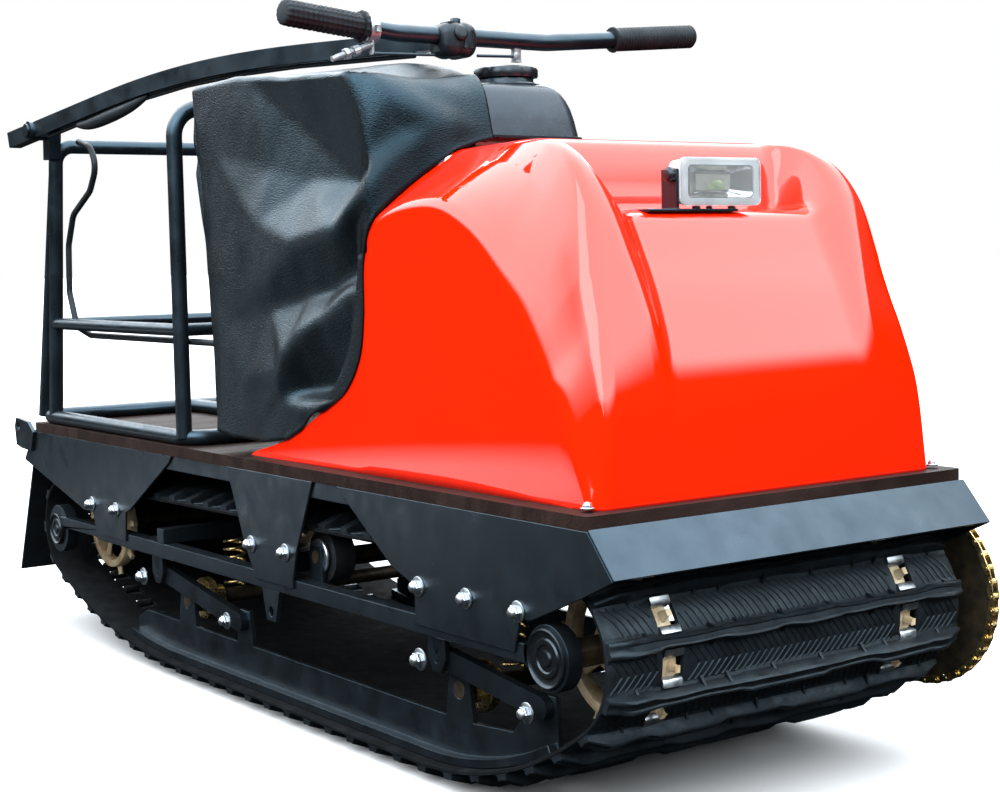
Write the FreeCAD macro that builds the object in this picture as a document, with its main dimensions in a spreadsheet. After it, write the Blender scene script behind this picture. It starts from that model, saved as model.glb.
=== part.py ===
"""Tracked snow towing vehicle, built as separate named solids.

Millimetres. +Z is up and the ground is z = 0. The machine drives towards -Y. +X is its left
side, where the drive chain runs. The origin is on the ground, on the centre line.
"""
import FreeCAD, Part
import math
import os
import re

from FreeCAD import Placement, Rotation, Vector

# Driving sizes. Every one of them becomes a cell of the document's sheet.
SIZES = {
    # deck and frame
    "deck_width": 530,
    "deck_front_y": -671,
    "deck_rear_y": 706,
    "deck_top_z": 328,
    "deck_thickness": 14,
    "deck_corner": 8,
    "plate_thickness": 3,
    "frame_tube": 20,
    "tube_wall": 2,
    "beam_mid_z": 180,
    "beam_rear_y": 480,
    "deflector_drop": 43,
    "front_deflector_reach": 37,
    "rear_deflector_drop": 48,
    "rear_deflector_reach": 43,
    # track and its wheels
    "track_width": 500,
    "belt_thickness": 5,
    "lug_height": 17.5,
    "lug_base": 17,
    "lug_tip": 10,
    "lug_pitch": 50.5,
    "window_length": 25,
    "window_width": 27,
    "window_offset": 168,
    "drive_teeth": 10,
    "idler_teeth": 9,
    "drive_axle_y": -597,
    "drive_axle_z": 180,
    "idler_axle_y": 639.4,
    "idler_axle_z": 168,
    "nose_arc": 515,
    "tail_arc": 983,
    "sprocket_width": 18,
    "tooth_reach": 9,
    "drive_shaft_radius": 15,
    "idler_shaft_radius": 10,
    "housing_radius": 34,
    "housing_width": 18,
    "yoke_radius": 36,
    # slide rails and what hangs them
    "rail_web": 6,
    "rail_offset": 222,
    "rail_foot_width": 30,
    "rail_foot_height": 10,
    "rail_top_z": 74,
    "front_carrier_y": -394,
    "rear_carrier_y": 268,
    "carrier_z": 106,
    "carrier_radius": 10,
    "carrier_hub_radius": 29,
    "front_arm_beam_y": -377,
    "front_arm_rail_y": -552,
    "front_arm_rail_z": 118,
    "rear_arm_beam_y": 324,
    "rear_arm_rail_y": 99,
    "rear_arm_rail_z": 104,
    "arm_pivot_z": 140,
    "arm_height": 24,
    "pivot_radius": 5,
    "spring_radius": 16,
    "spring_wire": 4,
    "spring_offset": 150,
    "support_roller_y": -120,
    "support_roller_radius": 32,
    "support_roller_width": 28,
    "support_shaft_radius": 8,
    "lashing_eye_y": -43,
    "lashing_eye_z": 143,
    "lashing_hole_radius": 6,
    # chain drive
    "chain_mid_x": 282,
    "chain_width": 12,
    "chain_height": 9,
    "driven_pitch_radius": 104,
    "driver_pitch_radius": 28,
    "jackshaft_y": -200,
    "jackshaft_z": 374,
    "jackshaft_radius": 10,
    # cargo basket
    "basket_half_width": 251,
    "basket_tube_radius": 10.5,
    "basket_front_y": 205,
    "basket_rear_y": 690,
    "basket_hoop_z": 774,
    "basket_rail_z": 482,
    "rear_post_foot_y": 649,
    "rear_post_top_y": 609,
    "rear_post_top_z": 748,
    "brace_foot_y": 697,
    # steering arm
    "hinge_x": -281,
    "hinge_y": 605,
    "hinge_z": 770,
    "hinge_pin_radius": 6,
    "hinge_clearance": 0.06,
    "hinge_side_gap": 0.5,
    "hinge_boss_proud": 4,
    "arm_bar_width": 20,
    "arm_bar_height": 23,
    "bar_y": -197,
    "bar_z": 832,
    "bar_radius": 10.5,
    "bar_mid_x": -12,
    "bar_half_length": 296,
    "bar_right_bend_x": -160,
    "bar_left_bend_x": 60,
    "bar_right_rise": 13,
    "bar_left_rise": 18,
    "bar_sweep": 10,
    "bar_bend_radius": 160,
    "right_grip_length": 100,
    "left_grip_length": 122,
    "grip_overhang": 6,
    "grip_radius": 15,
    "clamp_mid_x": -79,
    "clamp_width": 62,
    "clamp_depth": 50,
    "clamp_height": 50,
    "clamp_edge": 9,
    "perch_x": -201,
    "perch_width": 15,
    "pull_bracket_x": 14,
    "arm_cable_radius": 3,
    "post_cable_radius": 4.5,
    # body work
    "hood_half_width": 240,
    "hood_front_y": -655,
    "hood_tail_y": 37,
    "hood_top_z": 697,
    "hood_wall": 4,
    "hood_edge_radius": 64,
    "recess_half_width": 146,
    "shelf_z": 614,
    "cover_half_width": 245,
    "cover_wall": 4,
    "cover_gap": 0.4,
    "cover_rear_y": 185,
    "cover_top_z": 803,
    "cover_bottom_z": 346,
    "cover_step_x": -76,
    "cover_step_y": -60,
    "cover_step_z": 712,
    "engine_half_width": 165,
    "engine_head_half_width": 76,
    "engine_head_z": 682,
    "engine_front_y": -235,
    "engine_rear_y": 105,
    "tank_mid_y": -194,
    "tank_mid_x": -18,
    "tank_width": 160,
    "tank_depth": 130,
    "tank_bottom_z": 706,
    "tank_top_z": 776,
    "tank_edge": 26,
    "cap_radius": 39,
    "cap_height": 24,
    "cap_neck_height": 10,
    # lamp
    "lamp_mid_x": -5,
    "lamp_width": 110,
    "lamp_height": 50,
    "lamp_depth": 42,
    "lamp_front_y": -583,
    "lamp_lift": 6,
    "lamp_lens_depth": 8,
    "lamp_edge": 7,
    "lamp_foot_width": 124,
    "lamp_foot_overhang": 43,
    # rear end
    "lug_ear_y": 759,
    "lug_ear_z": 319,
    "tow_hole_radius": 6.5,
    "flap_width": 500,
    "flap_thickness": 5,
    "flap_low_y": 829,
    "flap_low_z": 80,
}

document = FreeCAD.newDocument("SnowTowVehicle")
sheet = document.addObject("Spreadsheet::Sheet", "Sizes")
for row, (name, value) in enumerate(SIZES.items(), start=1):
    sheet.set(f"A{row}", name)
    sheet.set(f"B{row}", str(value))
    sheet.setAlias(f"B{row}", name)
document.recompute()
S = {name: float(sheet.get(name)) for name in SIZES}
NODES = []


# ---------------------------------------------------------------- helpers

def formula(text):
    """An expression whose bare size names point into the sheet."""
    return re.sub(r"[a-z_]+", lambda m: f"Sizes.{m[0]}" if m[0] in SIZES else m[0], str(text))


def bind(item, **texts):
    """Bind properties such as Length or Placement__Base__x to formulas."""
    for name, text in texts.items():
        item.setExpression(name.replace("__", "."), formula(text))
    return item


def block(x0, x1, y0, y1, z0, z1):
    """A box between two corners, each given as formulas."""
    item = document.addObject("Part::Box", "Block")
    return bind(item, Placement__Base__x=x0, Placement__Base__y=y0, Placement__Base__z=z0,
                Length=f"({x1}) - ({x0})", Width=f"({y1}) - ({y0})", Height=f"({z1}) - ({z0})")


TURNS = {"X": Rotation(Vector(0, 1, 0), 90), "Y": Rotation(Vector(1, 0, 0), -90), "Z": Rotation()}


def cylinder(axis, radius, length, x, y, z):
    """A cylinder along one axis that starts at (x, y, z)."""
    item = document.addObject("Part::Cylinder", "Cylinder")
    item.Placement = Placement(Vector(), TURNS[axis])
    return bind(item, Radius=radius, Height=length, Placement__Base__x=x,
                Placement__Base__y=y, Placement__Base__z=z)


def cut(base, tool):
    item = document.addObject("Part::Cut", "Cut")
    item.Base = base
    item.Tool = tool
    return item


def fuse(*items):
    item = document.addObject("Part::MultiFuse", "Fuse")
    item.Shapes = list(items)
    return item


def group(*items):
    """Like pieces that don't touch, kept as one node."""
    item = document.addObject("Part::Compound", "Group")
    item.Links = list(items)
    return item


def mirrored(item):
    """The same piece on the other side of the centre line."""
    copy = document.addObject("Part::Mirroring", "Mirror")
    copy.Source = item
    copy.Base = Vector(0, 0, 0)
    copy.Normal = Vector(1, 0, 0)
    return copy


def pair(item):
    return group(item, mirrored(item))


def shaped(shape):
    """A feature whose shape is worked out here from the sheet's sizes."""
    item = document.addObject("Part::Feature", "Shaped")
    item.Shape = shape
    return item


def plate(outline, start, thickness):
    """A body with one pad: an outline in the YZ plane, padded along +X from start."""
    body = document.addObject("PartDesign::Body", "Plate")
    plane = next(item for item in body.Origin.OriginFeatures if item.Role == "YZ_Plane")
    sketch = body.newObject("Sketcher::SketchObject", "Outline")
    sketch.AttachmentSupport = [(plane, "")]
    sketch.MapMode = "FlatFace"
    for edge in outline:
        sketch.addGeometry(edge, False)
    sketch.setExpression(".AttachmentOffset.Base.z", formula(start))
    pad = body.newObject("PartDesign::Pad", "Pad")
    pad.Profile = sketch
    pad.setExpression("Length", formula(thickness))
    body.Tip = pad
    return body


def flat(y, z):
    return Vector(y, z, 0)


def polygon(points):
    """Closed straight outline in a sketch's own plane."""
    corners = [flat(*point) for point in points]
    return [Part.LineSegment(a, b) for a, b in zip(corners, corners[1:] + corners[:1])]


def hole(y, z, radius):
    return [Part.Circle(flat(y, z), Vector(0, 0, 1), radius)]


def upright(points):
    """Closed straight wire in the YZ plane at x = 0."""
    corners = [Vector(0, y, z) for y, z in points]
    return Part.makePolygon(corners + corners[:1])


def ring_face(*wires):
    """A flat face whose inner wires are holes."""
    return Part.makeFace(list(wires), "Part::FaceMakerBullseye")


def across(wire, x0, x1):
    """A wire or face in the YZ plane, drawn along X from x0 to x1."""
    face = wire if isinstance(wire, Part.Face) else Part.Face(wire)
    face = face.copy()
    face.translate(Vector(x0, 0, 0))
    return face.extrude(Vector(x1 - x0, 0, 0))


def bent_path(points, bend, closed=False):
    """Straight runs joined by tangent arcs of the given bend radius."""
    corners = [Vector(*point) for point in points]
    count = len(corners)
    inner = range(count) if closed else range(1, count - 1)
    cuts = {}
    for index in inner:
        before = (corners[index - 1] - corners[index]).normalize()
        after = (corners[(index + 1) % count] - corners[index]).normalize()
        half = before.getAngle(after) / 2
        reach = bend / math.tan(half)
        middle = (before + after).normalize()
        top = corners[index] + middle * (bend / math.sin(half) - bend)
        cuts[index] = (corners[index] + before * reach, top, corners[index] + after * reach)
    edges = []
    for index in range(count if closed else count - 1):
        follow = (index + 1) % count
        start = cuts[index][2] if index in cuts else corners[index]
        end = cuts[follow][0] if follow in cuts else corners[follow]
        edges.append(Part.LineSegment(start, end).toShape())
        if follow in cuts:
            edges.append(Part.Arc(*cuts[follow]).toShape())
    return Part.Wire(edges)


def tube(path, radius):
    """A round bar along a wire."""
    start = path.Edges[0].Vertexes[0].Point
    direction = path.Edges[0].tangentAt(path.Edges[0].FirstParameter)
    ring = Part.Wire(Part.makeCircle(radius, start, direction))
    return path.makePipeShell([ring], True, False)


def bar(start, end, radius):
    """A straight round bar between two points."""
    first, last = Vector(*start), Vector(*end)
    return Part.makeCylinder(radius, (last - first).Length, first, last - first)


def node(name, item):
    item.Label = name
    NODES.append(item)
    return item


# ---------------------------------------------------------------- the track's path

def polar(centre, radius, angle):
    return (centre[0] + radius * math.cos(angle), centre[1] + radius * math.sin(angle))


class TrackPath:
    """The belt's pitch line in the YZ plane: arcs and straight runs, front wheel first.

    The line wraps the drive wheel, follows the nose arc down to the flat ground run, rises
    along the tail arc to the idler wheel and returns over the top.
    """

    def __init__(self):
        drive = (S["drive_axle_y"], S["drive_axle_z"])
        idler = (S["idler_axle_y"], S["idler_axle_z"])
        self.drive_radius = S["drive_teeth"] * S["lug_pitch"] / math.tau
        self.idler_radius = S["idler_teeth"] * S["lug_pitch"] / math.tau
        self.ground = S["lug_height"] + S["belt_thickness"] / 2
        nose = self.arc_centre(drive, self.drive_radius, S["nose_arc"], 1)
        tail = self.arc_centre(idler, self.idler_radius, S["tail_arc"], -1)
        self.nose, self.tail = nose, tail
        nose_angle = math.atan2(drive[1] - nose[1], drive[0] - nose[0]) % math.tau
        tail_angle = math.atan2(idler[1] - tail[1], idler[0] - tail[0]) % math.tau
        span = math.dist(drive, idler)
        lean = math.atan2(drive[1] - idler[1], idler[0] - drive[0])
        top_angle = math.pi / 2 - lean - math.asin((self.drive_radius - self.idler_radius) / span)
        down = 1.5 * math.pi
        self.parts = [
            ("arc", drive, self.drive_radius, top_angle, nose_angle),
            ("arc", nose, S["nose_arc"], nose_angle, down),
            ("line", (nose[0], self.ground), (tail[0], self.ground)),
            ("arc", tail, S["tail_arc"], down, tail_angle),
            ("arc", idler, self.idler_radius, tail_angle, top_angle + math.tau),
            ("line", polar(idler, self.idler_radius, top_angle),
             polar(drive, self.drive_radius, top_angle)),
        ]
        self.lengths = [self.part_length(part) for part in self.parts]
        self.length = sum(self.lengths)
        self.count = round(self.length / S["lug_pitch"])
        self.pitch = self.length / self.count
        self.first_lug = (sum(self.lengths[:2]) - nose[0]) % self.pitch

    def arc_centre(self, axle, wheel, radius, side):
        """Centre of an arc that is tangent to the ground run and wraps the wheel inside."""
        rise = axle[1] - self.ground - radius
        return (axle[0] + side * math.sqrt((radius - wheel) ** 2 - rise ** 2),
                self.ground + radius)

    @staticmethod
    def part_length(part):
        if part[0] == "line":
            return math.dist(part[1], part[2])
        return part[2] * (part[4] - part[3])

    def at(self, distance, offset=0.0):
        """The point at a distance along the pitch line, moved outwards by offset."""
        distance %= self.length
        for part, length in zip(self.parts, self.lengths):
            if distance <= length:
                break
            distance -= length
        if part[0] == "arc":
            return polar(part[1], part[2] + offset, part[3] + distance / part[2])
        (y0, z0), (y1, z1) = part[1], part[2]
        share = distance / length
        out_y, out_z = (z1 - z0) / length, (y0 - y1) / length
        return (y0 + (y1 - y0) * share + out_y * offset, z0 + (z1 - z0) * share + out_z * offset)

    def angle(self, distance):
        """Direction of travel at a distance, in radians in the YZ plane."""
        step = 0.01
        (y0, z0), (y1, z1) = self.at(distance - step), self.at(distance + step)
        return math.atan2(z1 - z0, y1 - y0)


track = TrackPath()


def curve_edge(first, middle, last):
    """An edge through three points of the YZ plane, straight where they line up."""
    a, b, c = (Vector(0, *point) for point in (first, middle, last))
    bulge = (b - a).cross(c - a).Length / (c - a).Length
    if bulge < 1e-3:
        return Part.LineSegment(a, c).toShape()
    return Part.Arc(a, b, c).toShape()


def loop_wire(offset):
    """Closed wire at an offset from the pitch line, from points on each of its parts."""
    starts = [sum(track.lengths[:index]) for index in range(len(track.lengths))]
    corners = [track.at(start + 1e-7, offset) for start in starts]
    edges = []
    for index, start in enumerate(starts):
        middle = track.at(start + track.lengths[index] / 2, offset)
        edges.append(curve_edge(corners[index], middle, corners[(index + 1) % len(corners)]))
    return Part.Wire(edges)


def stretch(first, last, offset):
    """Edge along the loop between two distances, at an offset."""
    return curve_edge(track.at(first, offset), track.at((first + last) / 2, offset),
                      track.at(last, offset))


def lug_distance(index):
    """Distance along the path of a lug's middle, counted so that one lug stands at y = 0.

    A window is half a pitch further on.
    """
    return track.first_lug + index * track.pitch


def lugged_wire():
    """Outer outline of the belt with every lug in it."""
    outer = S["belt_thickness"] / 2
    tip = outer + S["lug_height"]
    base_half, tip_half = S["lug_base"] / 2, S["lug_tip"] / 2
    edges = []
    for index in range(track.count):
        middle = lug_distance(index)
        foot = track.at(middle - base_half, outer)
        crown = track.at(middle - tip_half, tip)
        crown_end = track.at(middle + tip_half, tip)
        foot_end = track.at(middle + base_half, outer)
        for start, end in ((foot, crown), (crown, crown_end), (crown_end, foot_end)):
            edges.append(Part.LineSegment(Vector(0, *start), Vector(0, *end)).toShape())
        edges.append(stretch(middle + base_half, middle + track.pitch - base_half, outer))
    return Part.Wire(edges)


def make_track():
    """The belt with its lugs, and two rows of windows for the sprocket teeth."""
    half = S["track_width"] / 2
    face = ring_face(lugged_wire(), loop_wire(-S["belt_thickness"] / 2))
    belt = across(face, -half, half)
    windows = []
    depth = 3 * S["belt_thickness"]
    for index in range(track.count):
        middle = lug_distance(index + 0.5)
        y, z = track.at(middle)
        for side in (-1, 1):
            window = Part.makeBox(S["window_width"], S["window_length"], depth)
            window.translate(Vector(-S["window_width"] / 2, -S["window_length"] / 2, -depth / 2))
            window.rotate(Vector(), Vector(1, 0, 0), math.degrees(track.angle(middle)))
            window.translate(Vector(side * S["window_offset"], y, z))
            windows.append(window)
    return belt.cut(Part.makeCompound(windows))


def wheel_phase(part_index):
    """Angle of a window's middle on the wheel that one part of the path wraps."""
    start = sum(track.lengths[:part_index])
    kind, centre, radius, first, _ = track.parts[part_index]
    index = math.ceil((start - lug_distance(0.5)) / track.pitch)
    return first + (lug_distance(index + 0.5) - start) / radius


def sprocket(centre, radius, teeth, phase, bore):
    """A toothed wheel. Its teeth stand in the belt's windows."""
    rim = radius - S["belt_thickness"] / 2 - 0.5
    tip = radius + S["tooth_reach"]
    root_half, tip_half = 10.0 / rim, 4.5 / tip
    edges = []
    for index in range(int(teeth)):
        angle = phase + index * math.tau / teeth
        follow = angle + math.tau / teeth
        corners = [polar(centre, rim, angle - root_half), polar(centre, tip, angle - tip_half),
                   polar(centre, tip, angle + tip_half), polar(centre, rim, angle + root_half)]
        for start, end in zip(corners, corners[1:]):
            edges.append(Part.LineSegment(Vector(0, *start), Vector(0, *end)).toShape())
        edges.append(curve_edge(corners[3], polar(centre, rim, (angle + follow) / 2),
                                polar(centre, rim, follow - root_half)))
    ring = Part.Wire(Part.makeCircle(bore, Vector(0, *centre), Vector(1, 0, 0)))
    face = ring_face(Part.Wire(edges), ring)
    half = S["sprocket_width"] / 2
    sides = [across(face, side * S["window_offset"] - half, side * S["window_offset"] + half)
             for side in (-1, 1)]
    return Part.makeCompound(sides)


# ---------------------------------------------------------------- deck and frame

def make_deck():
    board = block("-deck_width / 2", "deck_width / 2", "deck_front_y", "deck_rear_y",
                  "deck_top_z - deck_thickness", "deck_top_z")
    document.recompute()
    rounded = document.addObject("Part::Fillet", "RoundedDeck")
    rounded.Base = board
    upright_edges = [index for index, edge in enumerate(board.Shape.Edges, start=1)
                     if abs(edge.tangentAt(edge.FirstParameter).z) > 0.9]
    rounded.Edges = [(index, S["deck_corner"], S["deck_corner"]) for index in upright_edges]
    node("deck_board", rounded)


SIDE_IN = "(deck_width / 2 - plate_thickness)"
UNDER_DECK = "(deck_top_z - deck_thickness)"


def make_deck_frame():
    """Square tubes under the board: two long ones and five across."""
    bottom = f"{UNDER_DECK} - frame_tube"
    pieces = []
    for start, end in ((f"-{SIDE_IN}", f"frame_tube - {SIDE_IN}"),
                       (f"{SIDE_IN} - frame_tube", SIDE_IN)):
        pieces.append(block(start, end, "deck_front_y + plate_thickness",
                            "deck_rear_y - plate_thickness", bottom, UNDER_DECK))
    rows = ["deck_front_y + plate_thickness", "-211", "40", "basket_front_y - frame_tube / 2",
            "deck_rear_y - plate_thickness - frame_tube"]
    for start in rows:
        pieces.append(block(f"frame_tube - {SIDE_IN}", f"{SIDE_IN} - frame_tube", start,
                            f"{start} + frame_tube", bottom, UNDER_DECK))
    node("deck_frame", fuse(*pieces))


def make_deflectors():
    """Slanting end plates that hang from the deck's two ends."""
    top = S["deck_top_z"] - S["deck_thickness"]
    thick = S["plate_thickness"]
    for name, end, reach, drop, side in (
            ("front_deflector", S["deck_front_y"], S["front_deflector_reach"],
             S["deflector_drop"], -1),
            ("rear_deflector", S["deck_rear_y"], S["rear_deflector_reach"],
             S["rear_deflector_drop"], 1)):
        length = math.hypot(reach, drop)
        out_y, out_z = side * thick * drop / length, thick * reach / length
        outline = [(end, top), (end + side * reach, top - drop),
                   (end + side * reach + out_y, top - drop + out_z), (end + out_y, top + out_z)]
        node(name, plate(polygon(outline), "-deck_width / 2", "deck_width"))


def side_outlines():
    """Three hanging plates a side, which carry the lower beam from the deck frame."""
    top = S["deck_top_z"] - S["deck_thickness"]
    low = S["beam_mid_z"]
    rear_y = S["deck_rear_y"] + S["rear_deflector_reach"]
    rear_z = top - S["rear_deflector_drop"]
    front_y = S["deck_front_y"] - S["front_deflector_reach"]
    front_z = top - S["deflector_drop"]
    rear = [(219, top), (227, top - 10), (357, 227), (373, 221), (376, low), (477, low),
            (490, 210), (521, 210), (rear_y, rear_z), (S["deck_rear_y"], top)]
    middle = [(59, top), (14, 217), (-7, 189), (-7, low), (-105, low), (-105, 190), (-116, 227),
              (-158, top)]
    front = [(-211, top), (-326, 237), (-371, 222), (-373, low), (-552, low), (-562, 215),
             (-579, 215), (-665, 251), (front_y, front_z), (S["deck_front_y"], top)]
    return rear, middle, front


def make_side_plates():
    right = group(*[plate(polygon(outline), "-deck_width / 2", "plate_thickness")
                    for outline in side_outlines()])
    node("side_plates_right", right)
    node("side_plates_left", mirrored(right))


def make_beams():
    """Lower side beams: square tubes that run from the drive housing to the tensioner."""
    low, high = "beam_mid_z - frame_tube / 2", "beam_mid_z + frame_tube / 2"
    start = f"-{SIDE_IN}"
    outer = block(start, f"frame_tube - {SIDE_IN}", "drive_axle_y", "beam_rear_y", low, high)
    inner = block(f"tube_wall - {SIDE_IN}", f"frame_tube - tube_wall - {SIDE_IN}",
                  "drive_axle_y - 1", "beam_rear_y + 1", f"{low} + tube_wall",
                  f"{high} - tube_wall")
    seat = cylinder("X", "housing_radius", "deck_width", "-deck_width / 2", "drive_axle_y",
                    "drive_axle_z")
    beam = cut(cut(outer, inner), seat)
    node("side_beams", pair(beam))


def make_cross_tubes():
    """Cross tubes that sit on the two beams inside the track's loop."""
    low = "beam_mid_z + frame_tube / 2"
    tubes = []
    for middle in ("front_carrier_y", "-50", "rear_carrier_y"):
        tubes.append(block(f"-{SIDE_IN}", SIDE_IN, f"{middle} - frame_tube / 2",
                           f"{middle} + frame_tube / 2", low, f"{low} + frame_tube"))
    node("cross_tubes", group(*tubes))


# ---------------------------------------------------------------- running gear

def make_wheels():
    drive = (S["drive_axle_y"], S["drive_axle_z"])
    idler = (S["idler_axle_y"], S["idler_axle_z"])
    node("track", shaped(make_track()))
    node("drive_sprockets", shaped(sprocket(drive, track.drive_radius, S["drive_teeth"],
                                            wheel_phase(0), S["drive_shaft_radius"])))
    node("idler_sprockets", shaped(sprocket(idler, track.idler_radius, S["idler_teeth"],
                                            wheel_phase(4), S["idler_shaft_radius"])))
    node("drive_shaft", cylinder("X", "drive_shaft_radius",
                                 "chain_mid_x + chain_width + deck_width / 2 - 8",
                                 "8 - deck_width / 2", "drive_axle_y", "drive_axle_z"))
    node("idler_shaft", cylinder("X", "idler_shaft_radius", "deck_width - 16",
                                 "8 - deck_width / 2", "idler_axle_y", "idler_axle_z"))
    housing = cut(cylinder("X", "housing_radius", "housing_width", f"4 - {SIDE_IN}",
                           "drive_axle_y", "drive_axle_z"),
                  cylinder("X", "drive_shaft_radius", "deck_width", "-deck_width / 2",
                           "drive_axle_y", "drive_axle_z"))
    node("bearing_housings", pair(housing))
    slide = "(frame_tube / 2 - tube_wall - 0.2)"
    mid_x = f"(frame_tube / 2 - {SIDE_IN})"
    yoke = fuse(cylinder("X", "yoke_radius", "housing_width", f"4 - {SIDE_IN}",
                         "idler_axle_y", "idler_axle_z"),
                block(f"{mid_x} - {slide}", f"{mid_x} + {slide}", "beam_rear_y - 45",
                      "idler_axle_y", f"beam_mid_z - {slide}", f"beam_mid_z + {slide}"))
    yoke = cut(yoke, cylinder("X", "idler_shaft_radius", "deck_width", "-deck_width / 2",
                              "idler_axle_y", "idler_axle_z"))
    node("tensioner_yokes", pair(yoke))


def arc_point(centre, radius, degrees):
    """A point on one of the big ground arcs, measured from straight down."""
    angle = math.radians(270 + degrees)
    return polar(centre, radius, angle)


NOSE_DEGREES = -26
TAIL_DEGREES = 9


def rail_bottom(gap, reverse=False):
    """The rail's running edge, a gap inside the belt: nose arc, flat, tail arc."""
    nose = S["nose_arc"] - gap
    tail = S["tail_arc"] - gap
    front = [arc_point(track.nose, nose, NOSE_DEGREES * share) for share in (1, 0.5, 0)]
    rear = [arc_point(track.tail, tail, TAIL_DEGREES * share) for share in (0, 0.5, 1)]
    edges = [curve_edge(*front), curve_edge(front[2], midpoint(front[2], rear[0]), rear[0]),
             curve_edge(*rear)]
    return edges, front[0], rear[2]


def midpoint(first, last):
    return ((first[0] + last[0]) / 2, (first[1] + last[1]) / 2)


def open_wire(points):
    return [Part.LineSegment(Vector(0, *a), Vector(0, *b)).toShape()
            for a, b in zip(points, points[1:])]


def ear(middle, half, top):
    """Three points of an ear that stands on the rail's top edge, rear side first."""
    base = S["rail_top_z"]
    return [(middle + half + 8, base), (middle + half, top), (middle - half, top),
            (middle - half - 8, base)]


def make_rails():
    """Slide rails: an upright web with ears, on a wider foot that runs on the belt."""
    gap = S["belt_thickness"] / 2 + 0.5
    edges, nose, tail = rail_bottom(gap)
    ear_top = S["carrier_z"] + S["carrier_radius"] + 8
    arm_top = S["rear_arm_rail_z"] + 14
    top = [tail, (tail[0], 60), (tail[0] - 30, S["rail_top_z"])]
    top += ear(S["rear_carrier_y"], 18, ear_top)
    top += ear(S["rear_arm_rail_y"], 14, arm_top)
    top += ear(S["front_carrier_y"], 18, ear_top)
    top += [(S["front_arm_rail_y"] + 60, S["rail_top_z"] + 6),
            (S["front_arm_rail_y"] + 14, S["front_arm_rail_z"] + 12),
            (S["front_arm_rail_y"] - 14, S["front_arm_rail_z"] + 12), nose]
    web = across(Part.Wire(edges + open_wire(top)), 0, S["rail_web"])
    x = -S["rail_offset"] - S["rail_web"] / 2
    web.translate(Vector(x, 0, 0))
    upper, nose_top, tail_top = rail_bottom(gap + S["rail_foot_height"])
    ends = open_wire([tail, tail_top]) + open_wire([nose_top, nose])
    foot = across(Part.Wire(Part.sortEdges(edges + upper + ends)[0]), 0, S["rail_foot_width"])
    foot.translate(Vector(-S["rail_offset"] - S["rail_foot_width"] / 2, 0, 0))
    rail = web.fuse(foot).removeSplitter()
    drills = []
    for y in (S["rear_carrier_y"], S["front_carrier_y"]):
        drills.append(bar((-300, y, S["carrier_z"]), (0, y, S["carrier_z"]), S["carrier_radius"]))
    for y, z in ((S["rear_arm_rail_y"], S["rear_arm_rail_z"]),
                 (S["front_arm_rail_y"], S["front_arm_rail_z"])):
        drills.append(bar((-300, y, z), (0, y, z), S["pivot_radius"]))
    node("slide_rails", pair(shaped(rail.cut(Part.makeCompound(drills)))))


WEB_OUT = "(rail_offset + rail_web / 2)"
ARM_OUT = "(deck_width / 2 - plate_thickness - frame_tube - 6)"


def make_carriers():
    """Cross axles between the rails, each with two flanged hubs."""
    axles = []
    hubs = []
    for y in ("front_carrier_y", "rear_carrier_y"):
        axles.append(cylinder("X", "carrier_radius", f"2 * {WEB_OUT}", f"-{WEB_OUT}", y,
                              "carrier_z"))
        bore = cylinder("X", "carrier_radius", "deck_width", "-deck_width / 2", y, "carrier_z")
        flange = cylinder("X", "carrier_hub_radius", 12, "-201", y, "carrier_z")
        boss = cylinder("X", "carrier_radius + 7", 40, "-213", y, "carrier_z")
        hub = cut(fuse(flange, boss), bore)
        hubs += [hub, mirrored(hub)]
    node("carrier_axles", group(*axles))
    node("carrier_hubs", group(*hubs))


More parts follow.
